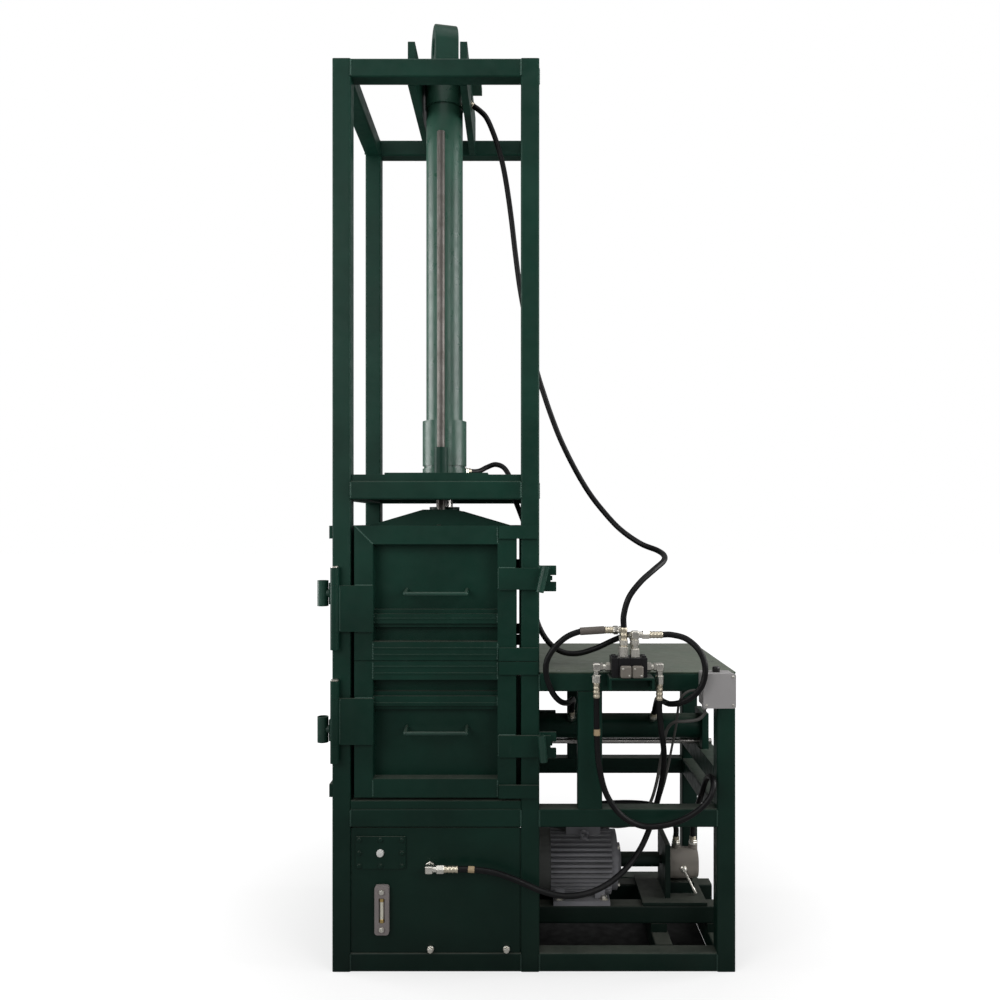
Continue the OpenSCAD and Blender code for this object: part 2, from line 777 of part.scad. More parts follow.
// Slab on the crosshead rails with a pad under the press head, and a hole for a hose
module crosshead_plate() {
    slab_t = crosshead_t - pad_t;
    plate_l = frame_d - 2 * crosshead_inset;
    color(green) difference() {
        translate([0, crosshead_inset, crosshead_z + tube]) {
            translate([tube, 0, 0]) cube([bay_x, plate_l, slab_t]);
            translate([press_x - crosshead_w / 2, 0, slab_t - eps])
                cube([crosshead_w, plate_l, pad_t + eps]);
        }
        translate([press_x, press_y, crosshead_z]) cylinder(d = press_rod_d + rod_hole_play, h = 2 * tube);
        translate([press_x, guide_y, crosshead_z]) cylinder(d = guide_d + rod_hole_play, h = 2 * tube);
        translate([press_x + hose_hole_dx, press_y + hose_hole_dy, crosshead_z])
            cylinder(d = hose_hole_d, h = 2 * tube);
    }
}

module cylinder_side_plates() {
    color(green) difference() {
        for (x = [press_x - hanger_gap / 2 - hanger_t, press_x + hanger_gap / 2])
            translate([x, tube, top_rail_z]) cube([hanger_t, bay_y, hanger_h]);
        translate([press_x, press_y, cap_port_z - (hanger_gap + hanger_t) / 2 * tan(cap_port_tilt)])
            rod_x(boss_d + 22, press_w);
    }
}

// A port boss that leans down through the right side plate
module at_cap_port()
    translate([press_x, press_y, cap_port_z]) rotate([0, 90 + cap_port_tilt, 0]) children();

module press_cylinder() {
    color(green) difference() {
        union() {
            translate([press_x, press_y, barrel_z0]) cylinder(d = press_od, h = barrel_z1 - barrel_z0);
            translate([press_x, press_y, barrel_z1 - eps])
                cylinder(d = collar_d, h = hanger_z1 - barrel_z1 + 2 * eps);
            translate([press_x - flange_w / 2, press_y - flange_d / 2, hanger_z1])
                cube([flange_w, flange_d, flange_t]);
            at_cap_port() cylinder(d = boss_d, h = cap_boss_l);
        }
        translate([press_x, press_y, barrel_z0 - 1])
            cylinder(d = press_bore, h = barrel_z1 - barrel_cap_t - barrel_z0 + 1);
    }
}

module press_head() {
    groove_z = 26;
    groove_h = 8;
    groove_depth = 4;
    color(green) translate([press_x, press_y, crosshead_top]) difference() {
        union() {
            cylinder(d = press_head_d, h = press_head_h);
            translate([0, 0, head_port_z - crosshead_top]) rotate([0, 90, head_port_turn])
                cylinder(d = boss_d, h = head_boss_l);
        }
        translate([0, 0, -1]) cylinder(r = press_rod_d / 2 + running_clear, h = press_head_h + 2);
        translate([0, 0, groove_z]) difference() {
            cylinder(d = press_head_d + 0.2, h = groove_h);
            translate([0, 0, -1]) cylinder(d = press_head_d - 2 * groove_depth, h = groove_h + 2);
        }
    }
}

module lifting_eye() {
    color(green) translate([press_x, press_y, hanger_z1 + flange_t]) rotate([0, 0, eye_yaw])
        rotate([90, 0, 90]) translate([0, 0, -eye_t / 2]) linear_extrude(eye_t) difference() {
            union() {
                translate([0, eye_h]) circle(d = eye_d);
                translate([-eye_d / 2, 0]) square([eye_d, eye_h]);
            }
            translate([0, eye_h]) circle(d = eye_bore);
        }
}

module guide_bush() {
    color(green) translate([press_x, guide_y, crosshead_top]) difference() {
        cylinder(d = bush_d, h = bush_h);
        translate([0, 0, -1]) cylinder(r = guide_d / 2 + running_clear, h = bush_h + 2);
    }
}

module press_rod() {
    color(chrome) translate([press_x, press_y, 0]) {
        translate([0, 0, platen_top]) cylinder(d = press_rod_d, h = piston_z - platen_top + eps);
        translate([0, 0, piston_z]) cylinder(r = press_bore / 2 - running_clear, h = piston_h);
    }
}

// A rib that slopes down from the hub to both edges of the platen
module platen_rib(l) {
    rib_t = 12;
    end_h = 5;
    half = l / 2 - platen_rib_margin;
    rotate([90, 0, 0]) translate([0, 0, -rib_t / 2]) linear_extrude(rib_t)
        polygon([[-half, 0], [half, 0], [half, end_h], [hub_d / 2, platen_rib_h],
                 [-hub_d / 2, platen_rib_h], [-half, end_h]]);
}

module press_platen() {
    platen_w = press_w - 2 * (door_member + platen_gap);
    platen_d = frame_d - 2 * (door_member + platen_gap);
    rib_pitch = platen_d * 0.42;
    color(green) translate([press_x, press_y, platen_top]) difference() {
        union() {
            translate([-platen_w / 2, -platen_d / 2, -platen_t]) cube([platen_w, platen_d, platen_t]);
            for (y = [-rib_pitch, 0, rib_pitch]) translate([0, y, -eps]) platen_rib(platen_w);
            translate([0, 0, -eps]) rotate([0, 0, 90]) platen_rib(platen_d);
            translate([0, 0, -eps]) cylinder(d = hub_d, h = hub_h);
        }
        cylinder(d = press_rod_d, h = hub_h + 1);
        translate([0, guide_y - press_y, 0]) cylinder(d = foot_d + 4, h = hub_h);
    }
}

module guide_rod() {
    color(chrome) translate([press_x, guide_y, platen_top]) {
        cylinder(d = guide_d, h = guide_top_z - platen_top);
        cylinder(d = foot_d, h = foot_h);
    }
}

// Side ram

module ram_wall() {
    color(green) difference() {
        translate([ram_wall_x0, tube, ram_wall_z0]) cube([ram_wall_t, bay_y, ram_wall_z1 - ram_wall_z0]);
        translate([ram_wall_x0 - 1, ram_y, ram_z]) rod_x(ram_rod_d + 4, ram_wall_t + 2);
        translate([ram_wall_x0 - 1, ram_y, ram_guide_z])
            rod_x(ram_guide_d + 2 * running_clear, ram_wall_t + 2);
    }
}

// Beam across the right end, with a plate that holds the ram and a notch over the guide rod
module ram_beam() {
    plate_w = 110;
    plate_rise = 48;
    foot_z = ram_beam_z0 + ram_beam_h;
    notch_w = ram_guide_d + 8;
    color(green) {
        translate([side_col_x, tube, ram_beam_z0]) cube([tube, bay_y, ram_beam_h]);
        translate([ram_barrel_x1, ram_y, 0]) difference() {
            translate([0, -plate_w / 2, foot_z - eps])
                cube([ram_mount_t, plate_w, ram_z + plate_rise - foot_z]);
            translate([-1, -notch_w / 2, foot_z])
                cube([ram_mount_t + 2, notch_w, ram_guide_z + notch_w / 2 - foot_z]);
        }
    }
}

// A port boss on the ram, leaning forward and up
module ram_port(x) translate([x, ram_y, ram_z]) rotate([45, 0, 0]) cylinder(d = boss_d, h = ram_boss_reach);

module ram_cylinder() {
    gland_d = ram_od + 18;
    gland_l = ram_barrel_x0 - press_w;
    guide_cut_d = ram_guide_d + 3;
    color(green) difference() {
        union() {
            translate([ram_barrel_x0 - eps, ram_y, ram_z])
                rod_x(ram_od, ram_barrel_x1 - ram_barrel_x0 + eps);
            translate([press_w, ram_y, ram_z]) rod_x(gland_d, gland_l);
            for (x = [ram_cap_port_x, ram_rod_port_x]) ram_port(x);
        }
        translate([ram_barrel_x0 - 10, ram_y, ram_z]) rod_x(ram_bore, ram_bore_x1 - ram_barrel_x0 + 10);
        translate([press_w - 1, ram_y, ram_z]) rod_x(ram_rod_d + 2 * running_clear, gland_l);
        translate([press_w - 1, ram_y, ram_guide_z]) rod_x(guide_cut_d, gland_l + 2);
    }
}

module ram_rod() {
    piston_x = ram_bore_x1 - 15 - ram_piston_l;
    color(chrome) translate([0, ram_y, ram_z]) {
        translate([push_x + push_t, 0, 0]) rod_x(ram_rod_d, piston_x - push_x - push_t + eps);
        translate([piston_x, 0, 0]) rod_x(ram_bore - 2 * running_clear, ram_piston_l);
    }
}

module push_plate() {
    rib_t = 10;
    rib_reach = ram_wall_x0 - push_x - push_t - 6;
    color(green) {
        translate([push_x, tube + push_margin, push_z0])
            cube([push_t, bay_y - 2 * push_margin, push_z1 - push_z0]);
        for (y = [tube + 40, rear_col_y - 40 - rib_t])
            translate([push_x + push_t - eps, y, push_z0]) cube([rib_reach, rib_t, push_z1 - push_z0 - 10]);
    }
}

module ram_guide_rod() {
    color(chrome) translate([push_x + push_t, ram_y, ram_guide_z])
        rod_x(ram_guide_d, ram_guide_x1 - push_x - push_t);
}

// Oil tank

module oil_tank() {
    opening_margin = 16;
    tank_size = [tank_x1 - tank_x0, tank_y1 - tank_y0, tank_z1 - tube];
    walls = 2 * tank_wall * [1, 1, 1];
    color(green) difference() {
        translate([tank_x0, tank_y0, tube]) cube(tank_size);
        translate([tank_x0 + tank_wall, tank_y0 + tank_wall, tube + tank_wall]) cube(tank_size - walls);
        translate([cover_x + opening_margin, tank_y0 - 1, cover_z + opening_margin])
            cube([cover_w - 2 * opening_margin, tank_wall + 2, cover_h - 2 * opening_margin]);
    }
}

module tank_cover() {
    color(green) translate([cover_x, tank_y0, cover_z]) rotate([90, 0, 0]) linear_extrude(cover_t)
        rounded_rect(cover_w, cover_h, 3);
}

module level_gauge() {
    window_w = 16;
    window_h = 66;
    window_z = 33;
    color(cast_grey) translate([gauge_x, tank_y0, gauge_z]) rotate([90, 0, 0]) difference() {
        linear_extrude(gauge_t) rounded_rect(gauge_w, gauge_h, 8);
        translate([gauge_w / 2 - window_w / 2, window_z, gauge_t / 2])
            linear_extrude(gauge_t) rounded_rect(window_w, window_h, 3);
    }
}

// Power pack

// One motor rail on three packers, over the base rails and the cross tube
module motor_rail(y) {
    packer_xs = [motor_rail_x0, cross_tube_x, motor_rail_x1 - tube + 5];
    translate([motor_rail_x0, y, motor_rail_z0]) tube_x(motor_rail_x1 - motor_rail_x0);
    for (x = packer_xs) translate([x, y, tube]) cube([tube - 5, tube, rail_packer_h + eps]);
}

module motor_rails() {
    color(dark_green) {
        for (y = motor_rail_ys) motor_rail(y);
        translate([cross_tube_x, tube, 0]) tube_y(bay_y);
    }
}

// Section of the finned motor body, with flat fins round a drum
function fin_point(a, r) = [r * cos(a), r * sin(a)];
function fin_section(count, r0, r1) = let (step = 360 / count) [
    for (i = [0 : count - 1]) for (p = [[-0.42, r0], [-0.20, r1], [0.20, r1], [0.42, r0]])
        fin_point((i + p[0]) * step, p[1])];

module motor_feet() {
    foot_l = 161;
    foot_h = 13;
    web_h = motor_h - motor_r * 0.55;
    for (y = [motor_rail_ys[0] + 2, motor_rail_ys[1] - 6]) {
        translate([motor_x0 + 7, y, motor_rail_z1]) cube([foot_l, tube + 2, foot_h]);
        for (x = [motor_x0 + 12, motor_x0 + foot_l - 34])
            translate([x, y < motor_y ? y + 20 : y, motor_rail_z1]) cube([28, tube - 18, web_h]);
    }
}

module motor_body() {
    terminal_l = 100;
    terminal_w = 84;
    terminal_h = 50;
    terminal_x = 45;
    terminal_z = 74;
    shield_d = 2 * motor_r - 22;
    color(motor_grey) difference() {
        union() {
            translate([motor_x0, motor_y, motor_z]) rotate([90, 0, 90]) linear_extrude(motor_l)
                polygon(fin_section(fin_count, motor_r - fin_depth, motor_r));
            translate([motor_x1 - eps, motor_y, motor_z]) rod_x(shield_d, shield_l - 12);
            translate([motor_x1, motor_y, motor_z]) rod_x(shield_d * 0.55, shield_l);
            motor_feet();
            translate([motor_x0 + terminal_x, motor_y - terminal_w / 2, motor_z + terminal_z])
                cube([terminal_l, terminal_w, terminal_h]);
        }
        translate([motor_x0 - 1, motor_y, motor_z])
            rod_x(shaft_d + 2 * running_clear, motor_l + shield_l + 2);
    }
}

module motor_fan_cover() {
    cover_d = 2 * motor_r - 6;
    cover_wall = 2;
    slot_rows = [28, 48, 68];
    color(dark_green) translate([motor_x0, motor_y, motor_z]) rotate([0, -90, 0]) difference() {
        cylinder(d = cover_d, h = fan_cover_l);
        translate([0, 0, -1]) cylinder(d = cover_d - 2 * cover_wall, h = fan_cover_l + 1 - cover_wall);
        for (r = slot_rows, a = [0 : 30 : 330])
            rotate([0, 0, a]) translate([r, 0, fan_cover_l - 2 * cover_wall])
                cylinder(d = 12, h = 3 * cover_wall);
    }
}

// Motor shaft with its cooling fan and the coupling sleeve to the pump
module drive_shaft() {
    fan_d = 2 * motor_r - 40;
    fan_x = motor_x0 - 40;
    fan_w = 24;
    blade_r0 = shaft_d / 2 + 6;
    blade_t = 4;
    coupling_x0 = motor_x1 + shield_l + 4;
    color(chrome) translate([0, motor_y, motor_z]) {
        translate([fan_x - 6, 0, 0]) rod_x(shaft_d, pump_x0 + pump_l / 2 - fan_x);
        translate([coupling_x0, 0, 0]) rod_x(coupling_d, pump_plate_x - coupling_x0 - 8);
        translate([fan_x, 0, 0]) rod_x(shaft_d + 20, fan_w);
        for (a = [0 : 60 : 300]) rotate([a, 0, 0])
            translate([fan_x, blade_r0, -blade_t / 2]) cube([fan_w, fan_d / 2 - blade_r0, blade_t]);
    }
}

module pump_bracket() {
    plate_w = 140;
    rail_span = motor_rail_ys[1] + tube - motor_rail_ys[0];
    saddle_z = motor_z - pump_drop - pump_r - pass_gap;
    color(dark_green) difference() {
        union() {
            translate([pump_base_x0, motor_rail_ys[0], motor_rail_z1])
                cube([pump_base_x1 - pump_base_x0, rail_span, pump_base_t]);
            translate([pump_plate_x, motor_y - plate_w / 2, motor_rail_z1])
                cube([pump_plate_t, plate_w, pump_plate_top - motor_rail_z1]);
            translate([pump_x0 - eps, motor_y - pump_r, motor_rail_z1])
                cube([pump_l, 2 * pump_r, saddle_z - motor_rail_z1]);
        }
        translate([pump_plate_x - 1, motor_y, motor_z]) rod_x(shaft_d + 6, pump_plate_t + 2);
    }
}

// Gear pump: a stadium-shaped body with a rear cover, bolted to the bracket plate
module gear_pump() {
    module section() {
        circle(r = pump_r);
        translate([0, -pump_drop]) circle(r = pump_r);
        translate([-pump_r, -pump_drop]) square([2 * pump_r, pump_drop]);
    }
    color(cast_grey) translate([pump_x0, motor_y, motor_z]) difference() {
        union() {
            rotate([90, 0, 90]) linear_extrude(pump_l + eps) section();
            translate([pump_l, 0, 0]) rotate([90, 0, 90]) linear_extrude(pump_cover_l)
                scale(0.94) section();
            for (x = [suction_port, outlet_port])
                translate([x, 0, 0]) cylinder(d = port_d + 4, h = pump_r + pump_boss_h);
        }
        translate([-1, 0, 0]) rod_x(shaft_d + 2 * running_clear, pump_l / 2 + 3);
    }
}

// Valve, fittings and switch box

module valve_bracket() {
    color(green) translate([valve_bracket_x, -valve_bracket_d, 0]) {
        translate([0, 0, valve_bracket_z - valve_bracket_t])
            cube([valve_bracket_w, valve_bracket_d, valve_bracket_t]);
        for (x = [0, valve_bracket_w - valve_bracket_t])
            translate([x, 0, valve_bracket_z - valve_bracket_leg])
                cube([valve_bracket_t, valve_bracket_d, valve_bracket_leg]);
    }
}

module control_valve() {
    cap = 29;
    cap_gap = 2;
    cap_x = 22;
    color(rubber) translate([valve_x, valve_y, valve_bracket_z]) {
        cube([valve_w, valve_d, valve_h]);
        for (i = [0, 1])
            translate([cap_x + i * (cap + cap_gap), eps, 1]) rotate([90, 0, 0]) linear_extrude(valve_cap_l)
                polygon([[0, 5], [5, 0], [cap, 0], [cap, cap - 3], [cap - 7, cap + 3], [0, cap + 3]]);
    }
}

// Pipe elbow: a hex socket at the start, a turn, and a ferrule along the second leg
module fitting_leg(l, d = 20) {
    hex_z(d + 5, l * 0.35);
    cylinder(d = d, h = l);
}

module fitting_tip(l, d = 20) {
    cylinder(d = d - 2, h = l);
    translate([0, 0, l * 0.3]) hex_z(d + 4, l * 0.22);
}

function valve_port_x(i) = valve_x + [34, 64][i];
valve_top_z = valve_bracket_z + valve_h;
valve_front_y = -50;
valve_back_y = -22;
valve_side_z = valve_bracket_z + 24;
valve_side_y = -38;

module straight_fitting(from, to_z) translate(from) fitting_leg(to_z - from[2]);

module turned_fitting(from, corner_z, turn, tip_l) {
    translate(from) fitting_leg(corner_z - from[2]);
    translate([from[0], from[1], corner_z]) {
        sphere(d = 20);
        rotate(turn) fitting_tip(tip_l);
    }
}

module valve_top_fittings() {
    straight_fitting([valve_port_x(0), valve_front_y, valve_top_z], press_cap_route[0][2]);
    turned_fitting([valve_port_x(1), valve_front_y, valve_top_z], ram_cap_route[0][2], [0, 90, 0],
        ram_cap_route[0][0] - valve_port_x(1));
    turned_fitting([valve_port_x(0), valve_back_y, valve_top_z], ram_rod_route[0][2], [0, -90, 0],
        valve_port_x(0) - ram_rod_route[0][0]);
    turned_fitting([valve_port_x(1), valve_back_y, valve_top_z], press_rod_route[0][2], [-90, 0, 0],
        press_rod_route[0][1] - valve_back_y);
}

// Side elbows of the valve, out and then down to a hose
module valve_side_fittings() {
    for (side = [[valve_x, pressure_route[0]], [valve_x + valve_w, return_route[0]]]) {
        out = side[1][0] - side[0];
        translate([side[0], valve_side_y, valve_side_z]) rotate([0, sign(out) * 90, 0])
            fitting_leg(abs(out));
        translate([side[1][0], valve_side_y, valve_side_z]) {
            sphere(d = 20);
            rotate([180, 0, 0]) fitting_tip(valve_side_z - side[1][2]);
        }
    }
}

// Fittings that go on from a boss's flat face to the end of a hose
module cylinder_fittings() {
    head_end = route_end(press_rod_route);
    at_cap_port() translate([0, 0, cap_boss_l]) fitting_leg(cap_reach / cos(cap_port_tilt) - cap_boss_l);
    head_reach = norm([head_end[0] - press_x, head_end[1] - press_y]);
    translate([press_x, press_y, head_port_z]) rotate([0, 90, head_port_turn])
        translate([0, 0, head_boss_l]) fitting_leg(head_reach - head_boss_l);
    for (port = [[ram_cap_port_x, route_end(ram_cap_route)], [ram_rod_port_x, route_end(ram_rod_route)]])
        translate([port[0], ram_y, ram_z]) rotate([45, 0, 0]) translate([0, 0, ram_boss_reach])
            fitting_leg((port[1][2] - ram_z) * sqrt(2) - ram_boss_reach);
}

module tank_fittings() {
    return_end = route_end(return_route);
    return_y = return_end[1];
    plug_shift = 1;
    plug_d = 20;
    plug_h = 10;
    translate([return_x, tank_y0, return_z]) rotate([90, 0, 0]) fitting_leg(tank_y0 - return_y);
    translate([return_x, return_y, return_z]) {
        sphere(d = 20);
        rotate([0, 90, 0]) fitting_tip(return_end[0] - return_x);
    }
    for (x = drain_xs) translate([x, tank_y0, drain_z]) rotate([90, 0, 0]) {
        cylinder(d = 18, h = 8);
        hex_z(15, 16);
    }
    translate([cover_x + cover_w / 2 - plug_shift, tank_y0 - cover_t, cover_z + cover_h / 2])
        rotate([90, 0, 0]) cylinder(d = plug_d, h = plug_h);
}

module pump_fittings() {
    port_z = motor_z + pump_r + pump_boss_h;
    translate([outlet_x, motor_y, port_z]) fitting_leg(route_end(pressure_route)[2] - port_z);
    translate([suction_x, motor_y, port_z]) fitting_leg(suction_route[0][2] - port_z);
    suction_end = route_end(suction_route);
    translate([tank_x1, suction_end[1], suction_end[2]]) rotate([0, 90, 0])
        fitting_leg(suction_end[0] - tank_x1);
}

module pipe_fittings() {
    color(zinc) {
        valve_top_fittings();
        valve_side_fittings();
        cylinder_fittings();
        tank_fittings();
        pump_fittings();
    }
}

// Switch box with a lid that overhangs its base, and two cable glands
module switch_box() {
    lid_d = 22;
    lid_lap = 2;
    lid_r = 6;
    base_r = 4;
    gland_d = 14;
    gland_l = 10;
    gland_z = 38;
    color(box_grey) difference() {
        union() {
            translate([box_x, 0, box_z]) rotate([90, 0, 0]) linear_extrude(box_d - lid_d + eps)
                rounded_rect(box_w, box_h, base_r);
            translate([box_x - lid_lap, -box_d + lid_d, box_z - lid_lap]) rotate([90, 0, 0])
                linear_extrude(lid_d) rounded_rect(box_w + 2 * lid_lap, box_h + 2 * lid_lap, lid_r);
            translate(cable_route[0]) cylinder(d = gland_d, h = box_z - cable_route[0][2] + 1);
            translate([box_x - gland_l, cable_route[0][1], box_z + gland_z]) rod_x(gland_d, gland_l + 1);
        }
        translate([box_x + box_w / 2, button_y, box_z + box_h - button_seat - button_travel - 2])
            cylinder(r = button_d / 2 + running_clear, h = box_h);
    }
}

module switch_button() {
    color(rubber) translate([box_x + box_w / 2, button_y, box_z + box_h - button_seat])
        cylinder(d = button_d, h = button_h);
}

// Bolt heads of the tank cover, the gauge and the flange, and the table screws
module fasteners() {
    cover_face = tank_y0 - cover_t;
    side_edge = 10;
    end_edge = 9;
    gauge_edge = 16;
    flange_edge = 18;
    flange_dx = flange_w / 2 - flange_edge;
    flange_dy = flange_d / 2 - flange_edge;
    color(zinc) {
        for (x = [side_edge, cover_w / 2, cover_w - side_edge],
             z = [end_edge, cover_h / 2, cover_h - end_edge])
            if (x != cover_w / 2 || z != cover_h / 2)
                translate([cover_x + x, cover_face, cover_z + z]) rotate([90, 0, 0]) hex_z(12, 5);
        for (z = [gauge_edge, gauge_h - gauge_edge])
            translate([gauge_x + gauge_w / 2, tank_y0 - gauge_t, gauge_z + z]) rotate([90, 0, 0])
                cylinder(d = 15, h = 6);
        for (x = [-flange_dx, flange_dx], y = [-flange_dy, flange_dy])
            translate([press_x + x, press_y + y, hanger_z1 + flange_t]) hex_z(24, 12);
        at_table_screws() cylinder(d = screw_d, h = sheet_t - screw_sink);
    }
}

// Hoses: a tube swept along a smooth curve through the route's points

function spline_at(p, i, t) = let (
        n = len(p) - 1, a = p[max(i - 1, 0)], b = p[i], c = p[min(i + 1, n)], d = p[min(i + 2, n)])
    0.5 * (2 * b + (c - a) * t + (2 * a - 5 * b + 4 * c - d) * t * t + (3 * b - a - 3 * c + d) * t * t * t);
function smooth_route(p, steps) = concat(
    [for (i = [0 : len(p) - 2]) for (s = [0 : steps - 1]) spline_at(p, i, s / steps)], [p[len(p) - 1]]);
function unit(v) = v / norm(v);
function heading(q, i) = unit(q[min(i + 1, len(q) - 1)] - q[max(i - 1, 0)]);
// Side directions are carried along the curve, so the tube doesn't twist
function carried(q, i) = i == 0
    ? unit(cross(heading(q, 0), abs(heading(q, 0)[2]) < 0.8 ? [0, 0, 1] : [0, 1, 0]))
    : let (h = heading(q, i), s = carried(q, i - 1)) unit(s - (s * h) * h);

module hose(route, d, steps = 2, sides = 8) {
    q = smooth_route(route, steps);
    n = len(q);
    points = [for (i = [0 : n - 1]) let (h = heading(q, i), s = carried(q, i), u = cross(h, s))
        for (k = [0 : sides - 1]) q[i] + d / 2 * (cos(360 * k / sides) * s + sin(360 * k / sides) * u)];
    side_faces = [for (i = [0 : n - 2]) for (k = [0 : sides - 1]) let (m = (k + 1) % sides)
        for (f = [[i * sides + k, (i + 1) * sides + k, (i + 1) * sides + m],
                  [i * sides + k, (i + 1) * sides + m, i * sides + m]]) f];
    start_face = [for (k = [0 : sides - 1]) k];
    end_face = [for (k = [0 : sides - 1]) n * sides - 1 - k];
    polyhedron(points, concat([start_face], side_faces, [end_face]));
}

module press_cap_hose() color(rubber) hose(press_cap_route, hose_d, 1);
module press_rod_hose() color(rubber) hose(press_rod_route, hose_d, 1);
module ram_cap_hose() color(rubber) hose(ram_cap_route, hose_d, 1);
module ram_rod_hose() color(rubber) hose(ram_rod_route, hose_d, 1);
module pressure_hose() color(rubber) hose(pressure_route, hose_d, 1);
module return_hose() color(rubber) hose(return_route, hose_d, 1);
module suction_hose() color(rubber) hose(suction_route, hose_d, 1);
module motor_cable() color(rubber) hose(cable_route, cable_d, 2);

place() main_columns();
place() side_posts();
place() upper_rails();
place() lower_rails();
place() table_sheet();
place() chamber_floor();
place() chamber_wall();
place() rear_panels();
place() crosshead_plate();
place() cylinder_side_plates();
place() press_cylinder();
place() press_head();
place() lifting_eye();
place() guide_bush();
place() press_rod();
place() press_platen();
place() guide_rod();
place() ram_wall();
place() ram_beam();
place() ram_cylinder();
place() ram_rod();
place() push_plate();
place() ram_guide_rod();
place() front_upper_door();
place() front_lower_door();
place() left_door();
place() front_upper_handle();
place() front_lower_handle();
place() front_upper_latch();
place() front_lower_latch();
place() left_upper_latch();
place() left_lower_latch();
place() hinge_knuckles();
place() hinge_pins();
place() latch_keepers();
place() oil_tank();
place() tank_cover();
place() level_gauge();
place() motor_rails();
place() motor_body();
place() motor_fan_cover();
place() drive_shaft();
place() pump_bracket();
place() gear_pump();
place() valve_bracket();
place() control_valve();
place() pipe_fittings();
place() switch_box();
place() switch_button();
place() fasteners();
place() press_cap_hose();
place() press_rod_hose();
place() ram_cap_hose();
place() ram_rod_hose();
place() pressure_hose();
place() return_hose();
place() suction_hose();
place() motor_cable();
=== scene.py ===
"""Finishes a vertical recycling baler: paint, fittings, hoses, valve, gauge, bolts and welds."""

import json
import math

import bpy
from mathutils import Matrix, Vector


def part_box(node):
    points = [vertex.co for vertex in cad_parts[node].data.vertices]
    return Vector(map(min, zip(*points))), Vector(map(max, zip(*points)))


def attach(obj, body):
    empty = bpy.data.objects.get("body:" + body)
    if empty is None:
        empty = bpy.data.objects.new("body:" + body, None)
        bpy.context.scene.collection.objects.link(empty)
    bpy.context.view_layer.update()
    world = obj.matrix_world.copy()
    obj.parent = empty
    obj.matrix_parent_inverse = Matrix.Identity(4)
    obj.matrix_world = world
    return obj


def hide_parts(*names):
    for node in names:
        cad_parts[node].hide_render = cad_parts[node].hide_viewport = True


bl_info = {
    "name": "Recycling baler",
    "version": (1, 0, 0),
    "blender": (4, 5, 0),
    "location": "3D View > Sidebar > Baler",
    "description": "Builds the finishes, hoses, fittings, welds and studio of a vertical recycling baler",
    "category": "Object",
}

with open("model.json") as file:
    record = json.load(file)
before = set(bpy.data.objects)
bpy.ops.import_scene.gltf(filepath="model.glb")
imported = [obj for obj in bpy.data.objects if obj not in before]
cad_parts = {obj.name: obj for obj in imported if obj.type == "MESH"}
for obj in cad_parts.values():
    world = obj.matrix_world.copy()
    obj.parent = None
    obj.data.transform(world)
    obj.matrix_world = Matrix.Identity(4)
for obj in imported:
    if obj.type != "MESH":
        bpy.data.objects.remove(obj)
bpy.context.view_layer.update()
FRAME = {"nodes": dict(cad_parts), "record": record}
NODES = FRAME["nodes"]
RECORD = FRAME["record"]
BODY_OF = {node: body for body, names in RECORD["behaviour"]["bodies"].items() for node in names}
SLOT_OF = {part["node"]: part["material_slot"] for part in RECORD["subparts"]}

MM = 0.001
# Faces that meet at less than this angle are shaded as one surface
SMOOTH_BELOW = math.radians(30)
# Edges that turn by more than this angle are rounded
SHARP_ABOVE = math.radians(40)
# The machine's own zero point: left, front and floor of the press frame
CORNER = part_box("main_columns")[0]
# Width and depth of the press frame in millimetres
WIDTH, DEPTH = 560, 560
LEFT, RIGHT = Vector((-1, 0, 0)), Vector((1, 0, 0))
FRONT, BACK = Vector((0, -1, 0)), Vector((0, 1, 0))
DOWN, UP = Vector((0, 0, -1)), Vector((0, 0, 1))


def spot(x, y, z):
    """A machine point in millimetres, in the row frame."""
    return CORNER + Vector((x, y, z)) * MM


